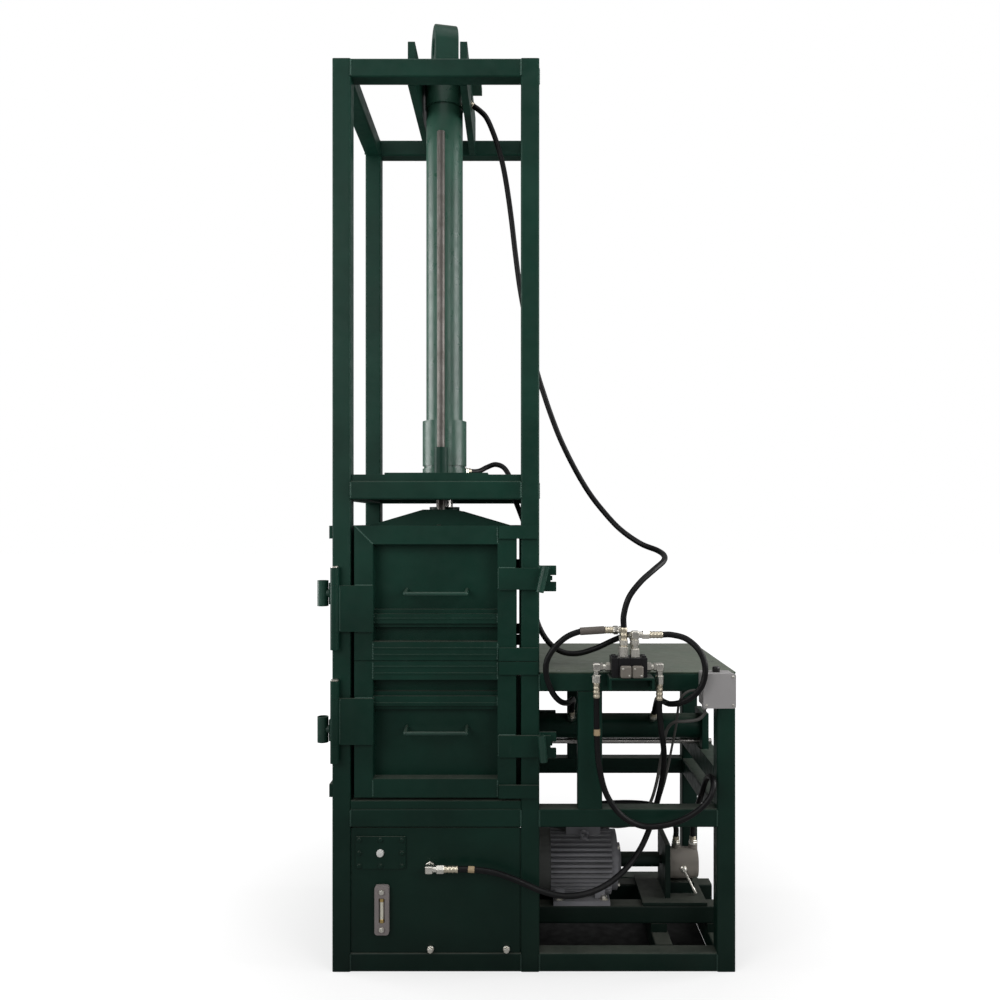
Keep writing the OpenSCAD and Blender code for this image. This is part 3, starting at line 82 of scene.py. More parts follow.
# Hose routes in millimetres, from the valve, pump or switch box to the far fitting
ROUTES = {
    "press_cap_hose": (
        (782, -50, 936), (782, -50, 970), (796, -49, 1016), (828, -38, 1056), (868, -10, 1087),
        (900, 30, 1108), (908, 70, 1122), (895, 110, 1135), (852, 150, 1154), (796, 178, 1196),
        (745, 198, 1254), (706, 210, 1308), (667, 218, 1376), (629, 226, 1455), (603, 232, 1522),
        (580, 237, 1590), (556, 241, 1670), (530, 245, 1790), (508, 250, 1910), (494, 255, 2015),
        (482, 260, 2120), (469, 264, 2215), (456, 269, 2288), (441, 275, 2346), (424, 278, 2396),
        (405, 280, 2437), (383, 280, 2459.08), (367, 280, 2470.08),
    ),
    "press_rod_hose": (
        (812, 24, 905), (812, 46, 905), (800, 80, 898), (768, 108, 880), (720, 125, 855),
        (670, 133, 840), (625, 140, 845), (588, 150, 872), (560, 165, 920), (545, 182, 985),
        (537, 200, 1060), (533, 222, 1130), (526, 255, 1190), (508, 295, 1243), (491, 330, 1288),
        (484, 352, 1325), (474, 368, 1358), (456, 384, 1386), (430, 394, 1396), (405, 395, 1388),
        (383, 382, 1376), (367, 367, 1372), (352, 352, 1372),
    ),
    "ram_cap_hose": (
        (884, -50, 917), (908, -50, 917), (944, -60, 908), (974, -76, 882), (988, -85, 848),
        (988, -88, 814), (977, -86, 782), (955, -74, 755), (930, -50, 737), (912, -16, 727),
        (906, 25, 722), (903, 75, 718), (903, 125, 714), (904, 165, 703), (905, 196, 684),
        (905, 216, 665), (905, 231, 650),
    ),
    "ram_rod_hose": (
        (734, -22, 926), (704, -22, 926), (668, -23, 922), (632, -26, 908), (600, -28, 880),
        (580, -28, 846), (577, -26, 812), (585, -22, 780), (598, -14, 752), (616, 6, 730),
        (634, 40, 718), (648, 85, 714), (657, 128, 710), (661, 165, 701), (661, 190, 687),
        (660, 208, 673), (660, 223, 658),
    ),
    "pressure_hose": (
        (711, -38, 748), (711, -38, 710), (712, -38, 640), (718, -38, 565), (738, -38, 490),
        (778, -38, 435), (830, -38, 408), (885, -38, 408), (940, -38, 424), (985, -38, 452),
        (1012, -37, 482), (1024, -26, 508), (1027, 0, 522), (1026, 35, 518), (1024, 72, 494),
        (1022, 110, 452), (1020, 150, 408), (1019, 188, 368), (1018, 214, 335), (1018, 222, 312),
        (1018, 222, 288),
    ),
    "return_hose": (
        (878, -38, 742), (878, -38, 708), (886, -22, 655), (896, 8, 610), (903, 40, 565),
        (904, 66, 515), (898, 80, 465), (886, 84, 415), (868, 76, 360), (838, 56, 308),
        (795, 30, 265), (740, 4, 233), (680, -16, 217), (620, -25, 216), (560, -27, 232),
        (505, -27, 256), (450, -27, 276), (405, -27, 285), (370, -27, 288), (342, -27, 288),
    ),
    "suction_hose": (
        (968, 222, 288), (968, 222, 312), (958, 228, 342), (935, 239, 362), (898, 256, 370),
        (850, 278, 368), (790, 302, 360), (725, 325, 348), (665, 338, 335), (610, 344, 322),
        (556, 345, 315), (526, 345, 315),
    ),
    "motor_cable": (
        (1000, -28, 716), (1000, -28, 710), (1000, -28, 704), (984, -26, 688), (952, -14, 680),
        (926, 10, 672), (912, 42, 645), (908, 72, 600), (902, 96, 540), (892, 108, 475),
        (876, 118, 418), (850, 136, 375), (818, 165, 348), (790, 200, 336), (766, 222, 334),
        (744, 222, 334),
    ),
}

# The second cable, from the side of the switch box to the motor's terminal box
CONTROL_ROUTE = (
    (980, -28, 766), (975, -28, 766), (970, -28, 766), (958, -27, 763), (947, -23, 755),
    (940, -13, 742), (937, 2, 725), (938, 22, 703), (940, 46, 676), (940, 70, 640), (936, 93, 595),
    (928, 110, 535), (916, 122, 470), (898, 132, 412), (868, 148, 366), (832, 172, 338),
    (796, 195, 324), (768, 203, 322), (744, 203, 322),
)

# Pipe fittings in millimetres: where each starts, the way it points and its length
SLANT = math.radians(35)
CAP_WAY = Vector((math.cos(SLANT), 0, -math.sin(SLANT)))
HEAD_WAY = Vector((1, 1, 0)).normalized()
RAM_WAY = Vector((0, -1, 1)).normalized()
# Adaptors that run into an elbow
ELBOW_LEGS = (
    ((812, -50, 858), UP, 59), ((782, -22, 858), UP, 68), ((812, -22, 858), UP, 47),
    ((748, -38, 830), LEFT, 37), ((842, -38, 830), RIGHT, 36), ((265, 4, 288), FRONT, 31),
)
# Adaptors that run straight into a crimped hose end
HOSE_LEGS = (
    ((782, -50, 858), UP, 78), ((344, 280, 2486.2), CAP_WAY, 28), ((330.9, 330.9, 1372), HEAD_WAY, 30),
    ((905, 251, 630), RAM_WAY, 28), ((660, 251, 630), RAM_WAY, 39), ((1018, 222, 264), UP, 24),
    ((968, 222, 264), UP, 24), ((508, 345, 315), RIGHT, 18),
)
# Hose ends that leave an elbow
TIPS = (
    ((812, -50, 917), RIGHT, 72), ((782, -22, 926), LEFT, 48), ((812, -22, 905), BACK, 46),
    ((711, -38, 830), DOWN, 82), ((878, -38, 830), DOWN, 88), ((265, -27, 288), RIGHT, 77),
)
DRAINS = ((266, 4, 62), (471, 4, 62))
COVER_PLUG = (130.5, -1, 322)

# Nodes with the paint that hands have worn
HAND_PARTS = (
    "front_upper_handle", "front_lower_handle", "front_upper_latch", "front_lower_latch",
    "left_upper_latch", "left_lower_latch",
)

# Soft lights: place, target and size in metres, and power in watts
LAMPS = (
    ("key_light", (-2.4, -3.4, 2.6), (0, 0, 1.2), (2.4, 2.4), 66),
    ("fill_light", (2.6, -3.2, 2.4), (0.2, 0, 1.0), (2.2, 2.2), 46),
    ("top_light", (0.0, -0.9, 4.4), (0, 0, 1.0), (3.0, 2.0), 42),
    ("left_light", (-2.6, 0.1, 1.9), (-0.24, 0, 1.8), (1.6, 2.4), 62),
    ("right_light", (2.4, -0.2, 2.1), (-0.24, 0, 1.8), (1.6, 2.2), 55),
)

# Nodes whose edges are rounded, with the radius in millimetres
SOFT_EDGES = {
    "front_upper_door": 2.0, "front_lower_door": 2.0, "left_door": 2.0, "rear_panels": 2.0,
    "chamber_floor": 1.5, "crosshead_plate": 1.5, "cylinder_side_plates": 1.5, "press_head": 1.5,
    "lifting_eye": 4.0, "press_platen": 1.5, "ram_wall": 1.0, "ram_beam": 2.0, "push_plate": 1.2,
    "latch_keepers": 1.5, "tank_cover": 1.0, "valve_bracket": 1.2, "pump_bracket": 1.5,
    "gear_pump": 1.5, "oil_tank": 1.5, "table_sheet": 0.8, "level_gauge": 1.5, "switch_box": 1.5,
}


def measure(label, about, size, low, high):
    """A length property in metres."""
    return bpy.props.FloatProperty(
        name=label, description=about, default=size, min=low, max=high, unit="LENGTH")


def tint(label, about, colour):
    """A colour property."""
    return bpy.props.FloatVectorProperty(
        name=label, description=about, subtype="COLOR", size=3, default=colour, min=0.0, max=1.0)


class BalerSizes(bpy.types.PropertyGroup):
    """Sizes of the pieces that dress the machine"""

    hose_diameter: measure("Hose diameter", "Outer diameter of the hydraulic hoses", 16 * MM, 0.01, 0.03)
    motor_cable_diameter: measure(
        "Motor cable diameter", "Outer diameter of the motor cable", 9 * MM, 0.004, 0.02)
    control_cable_diameter: measure(
        "Control cable diameter", "Outer diameter of the control cable", 7 * MM, 0.004, 0.02)
    route_steps: bpy.props.IntProperty(
        name="Route steps", description="Curve points between two points of a hose route",
        default=8, min=2, max=20)
    weld_radius: measure("Weld radius", "Half the width of a weld bead", 2.6 * MM, 0.001, 0.008)
    nut_radius: measure("Nut radius", "Corner radius of the hose nuts", 12.5 * MM, 0.005, 0.03)
    ferrule_radius: measure("Ferrule radius", "Outer radius of the crimped hose ends", 9.6 * MM, 0.005, 0.03)
    camera_distance: measure(
        "Camera distance", "Distance of the camera in front of the frame's face", 2.37, 1.0, 10.0)
    camera_height: measure("Camera height", "Height of the camera above the floor", 1.215, 0.2, 3.0)
    camera_lens: bpy.props.FloatProperty(
        name="Camera lens", description="Focal length in millimetres on a 36 mm sensor",
        default=31.6, min=15.0, max=100.0)


class BalerColours(bpy.types.PropertyGroup):
    """Colours of the machine's finishes"""

    green: tint("Green paint", "Machine paint of the frame, doors and tank", (0.0062, 0.0350, 0.0230))
    # A darker copy of the machine green for the rails and brackets: partly their paint, partly painted shade
    dark_green: tint("Dark paint and shade", "Paint of the rails, brackets and handles", (0.0065, 0.0240, 0.0165))
    # The press cylinder's green is lighter than the frame's: partly its own paint, partly painted sheen
    barrel: tint("Cylinder paint", "Paint of the press cylinder, lightened in part as painted sheen", (0.022, 0.078, 0.052))
    table: tint("Table sheet", "Worn paint of the table sheet", (0.080, 0.116, 0.080))
    motor: tint("Motor paint", "Grey paint of the motor", (0.176, 0.176, 0.188))
    pump: tint("Pump paint", "Grey-tan finish of the pump", (0.250, 0.229, 0.203))
    box: tint("Switch box", "Moulded plastic of the switch box", (0.30, 0.29, 0.29))
    cap: tint("Valve caps", "Moulded end caps of the control valve", (0.155, 0.140, 0.120))
    rubber: tint("Hose rubber", "Rubber cover of the hoses", (0.0045, 0.0045, 0.0050))
    cable: tint("Cable sheath", "Plastic sheath of the cables", (0.060, 0.058, 0.054))
    tape: tint("Hose tape", "Tan tape and tags on the hoses", (0.36, 0.27, 0.16))
    zinc: tint("Zinc plate", "Plating of the fittings and fasteners", (0.74, 0.72, 0.66))
    chrome: tint("Chrome", "Hard chrome of the rods", (0.55, 0.53, 0.51))
    dust: tint("Dust", "Workshop dust on upward faces", (0.17, 0.17, 0.145))


def sizes():
    """The scene's size settings."""
    return bpy.context.scene.baler_sizes


def colours():
    """The scene's colour settings."""
    return bpy.context.scene.baler_colours


def rgba(colour):
    """A colour property with full alpha."""
    return (*colour, 1.0)


# Shader groups


def new_group(name, colour_names, amount_names):
    """An empty group from a place, colours and amounts to a colour, a roughness and a height."""
    tree = bpy.data.node_groups.new(name, "ShaderNodeTree")
    sockets = [("Place", "INPUT", "NodeSocketVector")]
    sockets += [(label, "INPUT", "NodeSocketColor") for label in colour_names]
    sockets += [(label, "INPUT", "NodeSocketFloat") for label in amount_names]
    sockets.append(("Colour", "OUTPUT", "NodeSocketColor"))
    sockets += [(label, "OUTPUT", "NodeSocketFloat") for label in ("Roughness", "Height")]
    for label, side, kind in sockets:
        tree.interface.new_socket(name=label, in_out=side, socket_type=kind)
    return tree, tree.nodes.new("NodeGroupInput").outputs, tree.nodes.new("NodeGroupOutput")


def feed(tree, node, inputs):
    """Sets or links the inputs of a shader node."""
    for label, value in inputs.items():
        if isinstance(value, bpy.types.NodeSocket):
            tree.links.new(value, node.inputs[label])
        else:
            node.inputs[label].default_value = value


def add_node(tree, kind, result, inputs, **settings):
    """A shader node with its settings made and its inputs fed. Gives one output."""
    node = tree.nodes.new(kind)
    for label, value in settings.items():
        setattr(node, label, value)
    feed(tree, node, inputs)
    return node.outputs[result]


def noise_node(tree, place, scale, detail=4.0, roughness=0.55):
    """A noise texture fed from a place socket."""
    return add_node(tree, "ShaderNodeTexNoise", "Fac", {
        "Vector": place, "Scale": scale, "Detail": detail, "Roughness": roughness})


def ramp_node(tree, value, low, high, start=0.0, end=1.0):
    """Maps a value from low..high to start..end, held at the ends."""
    return add_node(tree, "ShaderNodeMapRange", "Result", {
        "Value": value, "From Min": low, "From Max": high, "To Min": start, "To Max": end})


def math_node(tree, operation, first, second):
    """A math node on two sockets or numbers."""
    return add_node(tree, "ShaderNodeMath", "Value", {0: first, 1: second}, operation=operation)


def mix_colour(tree, factor, first, second):
    """A mix of two colours by a factor socket."""
    mixed = {"Factor": factor, "A": first, "B": second}
    return add_node(tree, "ShaderNodeMix", "Result", mixed, data_type="RGBA")


def height_of(tree, vector):
    """The Z part of a vector socket."""
    return add_node(tree, "ShaderNodeSeparateXYZ", "Z", {"Vector": vector})


def give(tree, outside, colour, roughness, height):
    """Links the three results of a group to its outputs."""
    feed(tree, outside, {"Colour": colour, "Roughness": roughness, "Height": height})
    return tree


def workshop_wear():
    """Shader group: paint with tone drift, dust on top faces, scuffs, painted shade towards the floor and a
    brushed-on surface.
    """
    tree, inside, outside = new_group(
        "workshop_wear", ("Paint", "Dust"), ("Dust amount", "Scuff amount", "Floor shade amount", "Gloss"))
    scuffed = (0.030, 0.065, 0.050, 1.0)
    unshaded_above, floor_shade_depth = 1.1, -0.70
    place = inside["Place"]
    drift = ramp_node(tree, noise_node(tree, place, 5.0), 0.3, 0.7, 0.78, 1.25)
    # Painted shade: below 1.1 m the paint darkens towards the floor, by up to 70 %
    floor_shade_ramp = ramp_node(tree, height_of(tree, place), 0.0, unshaded_above, floor_shade_depth, 0.0)
    floor_shade = math_node(tree, "MULTIPLY", floor_shade_ramp, inside["Floor shade amount"])
    drift = math_node(tree, "MULTIPLY", drift, math_node(tree, "ADD", floor_shade, 1.0))
    toned = add_node(tree, "ShaderNodeVectorMath", "Vector", {
        "Vector": inside["Paint"], "Scale": drift}, operation="SCALE")
    normal = add_node(tree, "ShaderNodeNewGeometry", "Normal", {})
    upward = ramp_node(tree, height_of(tree, normal), 0.55, 0.95)
    settled = ramp_node(tree, noise_node(tree, place, 14.0, 6.0, 0.65), 0.28, 0.72, 0.45, 1.0)
    film = ramp_node(tree, noise_node(tree, place, 3.0, 7.0, 0.7), 0.48, 0.80, 0.0, 0.02)
    dust = math_node(tree, "MULTIPLY", math_node(tree, "MULTIPLY", upward, settled),
                     inside["Dust amount"])
    dust = math_node(tree, "MAXIMUM", dust, film)
    stretched = add_node(tree, "ShaderNodeMapping", "Vector", {
        "Vector": place, "Scale": (60.0, 60.0, 9.0)})
    streaks = noise_node(tree, stretched, 1.0, 8.0, 0.7)
    scuffs = math_node(tree, "MULTIPLY", ramp_node(tree, streaks, 0.66, 0.74),
                       inside["Scuff amount"])
    colour = mix_colour(tree, dust, toned, inside["Dust"])
    colour = mix_colour(tree, scuffs, colour, scuffed)
    ripple = noise_node(tree, place, 38.0, 3.0, 0.5)
    peel = noise_node(tree, place, 420.0, 2.0, 0.5)
    rough = math_node(tree, "ADD", inside["Gloss"],
                      ramp_node(tree, ripple, 0.3, 0.7, -0.07, 0.09))
    rough = math_node(tree, "ADD", rough, math_node(tree, "MULTIPLY", dust, 0.45))
    height = math_node(tree, "ADD", math_node(tree, "MULTIPLY", ripple, 0.7),
                       math_node(tree, "MULTIPLY", peel, 0.3))
    return give(tree, outside, colour, math_node(tree, "MINIMUM", rough, 0.95), height)


def metal_grain():
    """Shader group: plated or turned metal with fine grain, dull patches and dark specks."""
    tree, inside, outside = new_group("metal_grain", ("Metal", "Tarnish"), ("Tarnish amount", "Gloss"))
    place = inside["Place"]
    patches = ramp_node(tree, noise_node(tree, place, 24.0, 6.0, 0.65), 0.42, 0.72)
    tarnish = math_node(tree, "MULTIPLY", patches, inside["Tarnish amount"])
    colour = mix_colour(tree, tarnish, inside["Metal"], inside["Tarnish"])
    grain = noise_node(tree, place, 700.0, 3.0, 0.6)
    rough = math_node(tree, "ADD", inside["Gloss"], ramp_node(tree, grain, 0.3, 0.7, -0.05, 0.07))
    rough = math_node(tree, "ADD", rough, math_node(tree, "MULTIPLY", tarnish, 0.3))
    return give(tree, outside, colour, rough, grain)


def moulded_skin():
    """Shader group: moulded rubber or plastic with a fine skin and a rubbed bloom."""
    tree, inside, outside = new_group("moulded_skin", ("Base", "Bloom"), ("Bloom amount", "Gloss"))
    place = inside["Place"]
    patches = ramp_node(tree, noise_node(tree, place, 11.0, 5.0, 0.6), 0.4, 0.75)
    bloom = math_node(tree, "MULTIPLY", patches, inside["Bloom amount"])
    colour = mix_colour(tree, bloom, inside["Base"], inside["Bloom"])
    skin = noise_node(tree, place, 520.0, 3.0, 0.6)
    rough = math_node(tree, "ADD", inside["Gloss"], ramp_node(tree, skin, 0.3, 0.7, -0.06, 0.08))
    return give(tree, outside, colour, rough, skin)


def new_material(name):
    """A material with its node tree and its surface shader."""
    material = bpy.data.materials.new(name)
    material.use_nodes = True
    tree = material.node_tree
    return material, tree, tree.nodes["Principled BSDF"]


def grouped_material(name, make_group, values, metallic, bump, specular=0.5):
    """A material whose colour, roughness and bump come from a shared group."""
    known = bpy.data.materials.get(name)
    if known:
        return known
    material, tree, shader = new_material(name)
    effect = tree.nodes.new("ShaderNodeGroup")
    effect.node_tree = bpy.data.node_groups.get(make_group.__name__) or make_group()
    feed(tree, effect, {"Place": add_node(tree, "ShaderNodeTexCoord", "Object", {}), **values})
    results = effect.outputs
    relief = add_node(tree, "ShaderNodeBump", "Normal", {
        "Strength": bump, "Distance": 1.0 * MM, "Height": results["Height"]})
    feed(tree, shader, {
        "Base Color": results["Colour"], "Roughness": results["Roughness"], "Normal": relief,
        "Metallic": metallic, "Specular IOR Level": specular})
    return material


def painted(name, colour, gloss, dust=0.35, scuffs=0.2, specular=0.16, floor_shade=1.0, bump=0.18):
    """Machine paint with dust, scuffs and, near the floor, painted shade."""
    values = {"Paint": rgba(colour), "Dust": rgba(colours().dust), "Dust amount": dust,
              "Scuff amount": scuffs, "Floor shade amount": floor_shade, "Gloss": gloss}
    return grouped_material(name, workshop_wear, values, 0.0, bump, specular)


def plated(name, colour, tarnish, amount, gloss):
    """Plated, turned or cast metal."""
    values = {"Metal": rgba(colour), "Tarnish": rgba(tarnish), "Tarnish amount": amount, "Gloss": gloss}
    return grouped_material(name, metal_grain, values, 1.0, 0.10)


def moulded(name, colour, bloom, amount, gloss, specular=0.4):
    """Rubber or plastic."""
    values = {"Base": rgba(colour), "Bloom": rgba(bloom), "Bloom amount": amount, "Gloss": gloss}
    return grouped_material(name, moulded_skin, values, 0.0, 0.15, specular)


def slot_materials():
    """The finish of each material slot in the record."""
    tone = colours()
    return {
        "green_paint": painted("green_machine_paint", tone.green, 0.40),
        "dark_paint": painted("dark_machine_paint_and_shade", tone.dark_green, 0.46),
        "chrome_rod": plated("hard_chrome", tone.chrome, (0.20, 0.18, 0.16), 0.5, 0.20),
        "steel": plated("turned_steel", (0.34, 0.34, 0.35), (0.12, 0.11, 0.10), 0.6, 0.34),
        "zinc": plated("zinc_plate", tone.zinc, (0.36, 0.33, 0.27), 0.5, 0.26),
        "motor_paint": painted("motor_grey_paint", tone.motor, 0.50, 0.2, 0.1, floor_shade=0.0),
        "cast_metal": painted("pump_paint", tone.pump, 0.50, 0.15, 0.1, floor_shade=0.0),
        "valve_black": moulded(
            "black_valve_paint", (0.008, 0.008, 0.009), (0.02, 0.02, 0.02), 0.4, 0.36, 0.2),
        "box_plastic": moulded("grey_box_plastic", tone.box, (0.34, 0.33, 0.33), 0.5, 0.50),
        "button_plastic": moulded(
            "black_button", (0.010, 0.010, 0.010), (0.02, 0.02, 0.02), 0.4, 0.30),
        "hose_rubber": moulded(
            "black_hose_rubber", tone.rubber, (0.010, 0.010, 0.010), 0.6, 0.36, 0.16),
    }


def node_materials():
    """Finishes of the nodes that differ from their slot."""
    tone = colours()
    handle = painted("handle_paint", (0.012, 0.050, 0.034), 0.34, 0.25, 0.3, 0.35)
    # Cylinder and head: a lighter green, partly painted sheen
    barrel = painted("cylinder_paint_and_painted_sheen", tone.barrel, 0.32, 0.08, 0.15, 0.6, bump=0.04)
    return {
        "press_cylinder": barrel,
        "press_head": barrel,
        "table_sheet": painted("table_sheet_paint", tone.table, 0.34, 0.6, 0.3, 0.5),
        "level_gauge": painted("gauge_casting", (0.190, 0.169, 0.166), 0.45, 0.1, 0.1, floor_shade=0.0),
        **dict.fromkeys(HAND_PARTS, handle),
        "guide_rod": plated(
            "dull_rod", (0.120, 0.114, 0.106), (0.07, 0.062, 0.052), 0.6, 0.40),
        # Painted shade: the fan cover takes the motor's grey at less than half its lightness, for the shade
        # it sits in
        "motor_fan_cover": painted(
            "fan_cover_painted_shade", (0.074, 0.078, 0.074), 0.5, 0.2, 0.1, floor_shade=0.0),
        "drive_shaft": painted("coupling_paint", tone.dark_green, 0.45, 0.2, 0.1),
        "motor_cable": moulded("cable_sheath", tone.cable, (0.10, 0.096, 0.088), 0.5, 0.5),
    }


def finish_of(node):
    """A node's own finish, or that of its slot."""
    return node_materials().get(node) or slot_materials()[SLOT_OF[node]]


# Modelling helpers


def only(*pieces):
    """Selects these objects alone, with the first one active."""
    if bpy.context.mode != "OBJECT":
        bpy.ops.object.mode_set(mode="OBJECT")
    bpy.ops.object.select_all(action="DESELECT")
    for piece in pieces:
        piece.select_set(True)
    bpy.context.view_layer.objects.active = pieces[0]


def apply_place(piece):
    """Puts an object's place, turn and scale into its mesh."""
    only(piece)
    bpy.ops.object.transform_apply(location=True, rotation=True, scale=True)


def settle(piece, name, body, slot, *nodes, material=None):
    """Names a finished piece, puts its place in its mesh, and hands it to its body."""
    apply_place(piece)
    piece.name = name
    piece.data.materials.clear()
    piece.data.materials.append(material or slot_materials()[slot])
    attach(piece, body)
    if nodes:
        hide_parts(*nodes)
    return piece


def joined(pieces):
    """Joins pieces into the first one."""
    only(*pieces)
    if len(pieces) > 1:
        bpy.ops.object.join()
    return bpy.context.view_layer.objects.active


def facing(point, normal, turn=0.0):
    """A matrix that stands a template, modelled along +Z, on a point with that normal."""
    upright = Vector(normal).to_track_quat("Z", "Y").to_matrix().to_4x4()
    return Matrix.Translation(point) @ upright @ Matrix.Rotation(turn, 4, "Z")


def moved(x, y, z):
    """A matrix that moves a template by millimetres."""
    return Matrix.Translation(Vector((x, y, z)) * MM)


def stand(piece, point, normal, turn=0.0):
    """Stands a piece, modelled along +Z, on a point with that normal."""
    piece.matrix_world = facing(point, normal, turn)
    apply_place(piece)
    return piece


def copies(template, places):
    """Copies of a modelled template at each matrix, joined into one piece."""
    made = []
    for place in places:
        piece = template.copy()
        piece.data = template.data.copy()
        bpy.context.scene.collection.objects.link(piece)
        piece.matrix_world = place
        made.append(piece)
    bpy.data.objects.remove(template)
    bpy.context.view_layer.update()
    for piece in made:
        apply_place(piece)
    return joined(made)


def modified(piece, kind, **settings):
    """Applies one modifier to a piece."""
    only(piece)
    bpy.ops.object.modifier_add(type=kind)
    modifier = piece.modifiers[0]
    for label, value in settings.items():
        setattr(modifier, label, value)
    bpy.ops.object.modifier_apply(modifier=modifier.name)


def round_edges(piece, radius, segments=2):
    """Rounds the sharp edges of a piece, by millimetres, and evens the shading of its faces."""
    modified(piece, "BEVEL", width=radius * MM, segments=segments, limit_method="ANGLE",
             angle_limit=SHARP_ABOVE)
    bpy.ops.object.shade_smooth_by_angle(angle=SMOOTH_BELOW)
    modified(piece, "WEIGHTED_NORMAL", keep_sharp=True)
    return piece


def cuboid(middle, size):
    """A sharp box of a size round its middle, in metres."""
    bpy.ops.mesh.primitive_cube_add(size=1, location=middle)
    piece = bpy.context.object
    only(piece)
    bpy.ops.transform.resize(value=size, center_override=middle)
    apply_place(piece)
    return piece


def block(low, high, radius, segments=2):
    """A box between two machine points in millimetres, with rounded edges."""
    low, high = spot(*low), spot(*high)
    return round_edges(cuboid((low + high) / 2, high - low), radius, segments)


def turned(profile, sides=24):
    """A closed turned or polygonal body along +Z, from pairs of radius and height in millimetres."""
    radius, height = profile[0]
    bpy.ops.mesh.primitive_circle_add(
        vertices=sides, radius=radius * MM, fill_type="NGON", location=(0, 0, height * MM))
    piece = bpy.context.object
    apply_place(piece)
    bpy.ops.object.mode_set(mode="EDIT")
    bpy.ops.mesh.select_all(action="SELECT")
    for next_radius, next_height in profile[1:]:
        rise = (next_height - height) * MM
        bpy.ops.mesh.extrude_region_move(TRANSFORM_OT_translate={"value": (0, 0, rise)})
        ratio = next_radius / radius
        bpy.ops.transform.resize(value=(ratio, ratio, 1), center_override=(0, 0, next_height * MM))
        radius, height = next_radius, next_height
    bpy.ops.mesh.select_all(action="SELECT")
    bpy.ops.mesh.normals_make_consistent(inside=False)
    bpy.ops.object.mode_set(mode="OBJECT")
    bpy.ops.object.shade_smooth_by_angle(angle=SMOOTH_BELOW)
    return piece


def hex_nut(radius, low, high):
    """A hexagon with chamfered ends, between two heights, in millimetres."""
    chamfer, shoulder = 0.1 * radius, 0.9 * radius
    profile = ((shoulder, low), (radius, low + chamfer), (radius, high - chamfer), (shoulder, high))
    return turned(profile, 6)


def ferrule(radius, low, high):
    """A crimped hose end with three swaged bands, between two heights, in millimetres."""
    span = high - low
    band, pressed = 0.2 * span, 0.91 * radius
    profile = [(pressed, low), (radius, low + 0.06 * span)]
    for start in (low + 0.14 * span, low + 0.40 * span, low + 0.66 * span):
        profile += [(radius, start), (pressed, start + 0.25 * band), (pressed, start + 0.75 * band),
                    (radius, start + band)]
    return turned(profile + [(radius, high - 0.05 * span), (pressed, high)])


def hex_head(across, height, washer):
    """A bolt head with a chamfered top on a washer, standing on the origin, in millimetres."""
    seat = 0.18 * height
    ring = turned(((washer / 2, 0), (washer / 2, 0.7 * seat), (0.46 * washer, seat)))
    corner = across / math.sqrt(3)
    head = turned(((corner, seat), (corner, 0.86 * height), (0.86 * corner, height)), 6)
    return joined([ring, head])


def slotted_head(radius, height):
    """A round screw head with a slot across its top, standing on the origin, in millimetres."""
    shoulder = (0.86 * radius, 0.85 * height)
    head = turned(((radius, 0), (radius, 0.5 * height), shoulder, (0.6 * radius, height)))
    slot_size = Vector((3 * radius, 0.22 * radius, 0.9 * height))
    cutter = cuboid(Vector((0, 0, height)) * MM, slot_size * MM)
    modified(head, "BOOLEAN", object=cutter)
    bpy.data.objects.remove(cutter)
    return head


def smooth_route(points, steps):
    """Points of a smooth curve through a route's points."""
    path = [spot(*point) for point in points]
    last = len(path) - 1
    smooth = []
    for i in range(last):
        a, b = path[max(i - 1, 0)], path[i]
        c, d = path[i + 1], path[min(i + 2, last)]
        for s in range(steps):
            t = s / steps
            bend = (2 * a - 5 * b + 4 * c - d) * t * t + (3 * b - a - 3 * c + d) * t ** 3
            smooth.append(0.5 * (2 * b + (c - a) * t + bend))
    return smooth + [path[last]]


def round_curve(name, paths, radius, resolution):
    """A curve object with one round open spline for each path of (place, swell) points."""
    bpy.ops.curve.primitive_bezier_curve_add(location=(0, 0, 0))
    piece = bpy.context.object
    piece.name = name
    curve = piece.data
    curve.splines.clear()
    for path in paths:
        spline = curve.splines.new("POLY")
        spline.points.add(len(path) - 1)
        for point, (place, swell) in zip(spline.points, path):
            point.co = (*place, 1.0)
            point.radius = swell
        spline.use_smooth = True
    curve.dimensions = "3D"
    curve.bevel_depth = radius
    curve.bevel_resolution = resolution
    curve.use_fill_caps = True
    return piece


def upright(x, y, low, high):
    """A run straight up between two heights."""
    return (x, y, low), (x, y, high)


def weld_beads(name, body, runs):
    """Rippled weld beads along straight runs between machine points, as one piece."""
    step, ripple = 1.5 * MM, (0.84, 1.0, 1.14, 1.0)
    paths = []
    for start, end in runs:
        start, end = spot(*start), spot(*end)
        count = max(int((end - start).length / step), 3)
        paths.append([(start.lerp(end, i / count), ripple[i % len(ripple)]) for i in range(count + 1)])
    piece = round_curve(name, paths, sizes().weld_radius, 1)
    only(piece)
    bpy.ops.object.convert(target="MESH")
    # Painted highlight: the beads take a lighter green than the frame paint, with a little more scuffing
    bead = painted("weld_paint_painted_highlight", (0.022, 0.070, 0.050), 0.36, 0.1, 0.3, 0.35)
    return settle(bpy.context.object, name, body, "green_paint", material=bead)


# Pieces


class BALER_OT_camera(bpy.types.Operator):
    """Place the camera in front of the press, a little right of its middle"""

    bl_idname = "baler.camera"
    bl_label = "Camera"

    def execute(self, context):
        across = 507.6
        image_shift = (-0.020, 0.022)
        place = spot(across, 0, 0) + Vector((0, -sizes().camera_distance, sizes().camera_height))
        bpy.ops.object.camera_add(location=place, rotation=(math.radians(90), 0, 0))
        camera = context.object
        camera.name = "baler_camera"
        camera.data.lens = sizes().camera_lens
        camera.data.sensor_width = 36.0
        camera.data.shift_x, camera.data.shift_y = image_shift
        camera.data.clip_start = 0.05
        context.scene.camera = camera
        return {"FINISHED"}


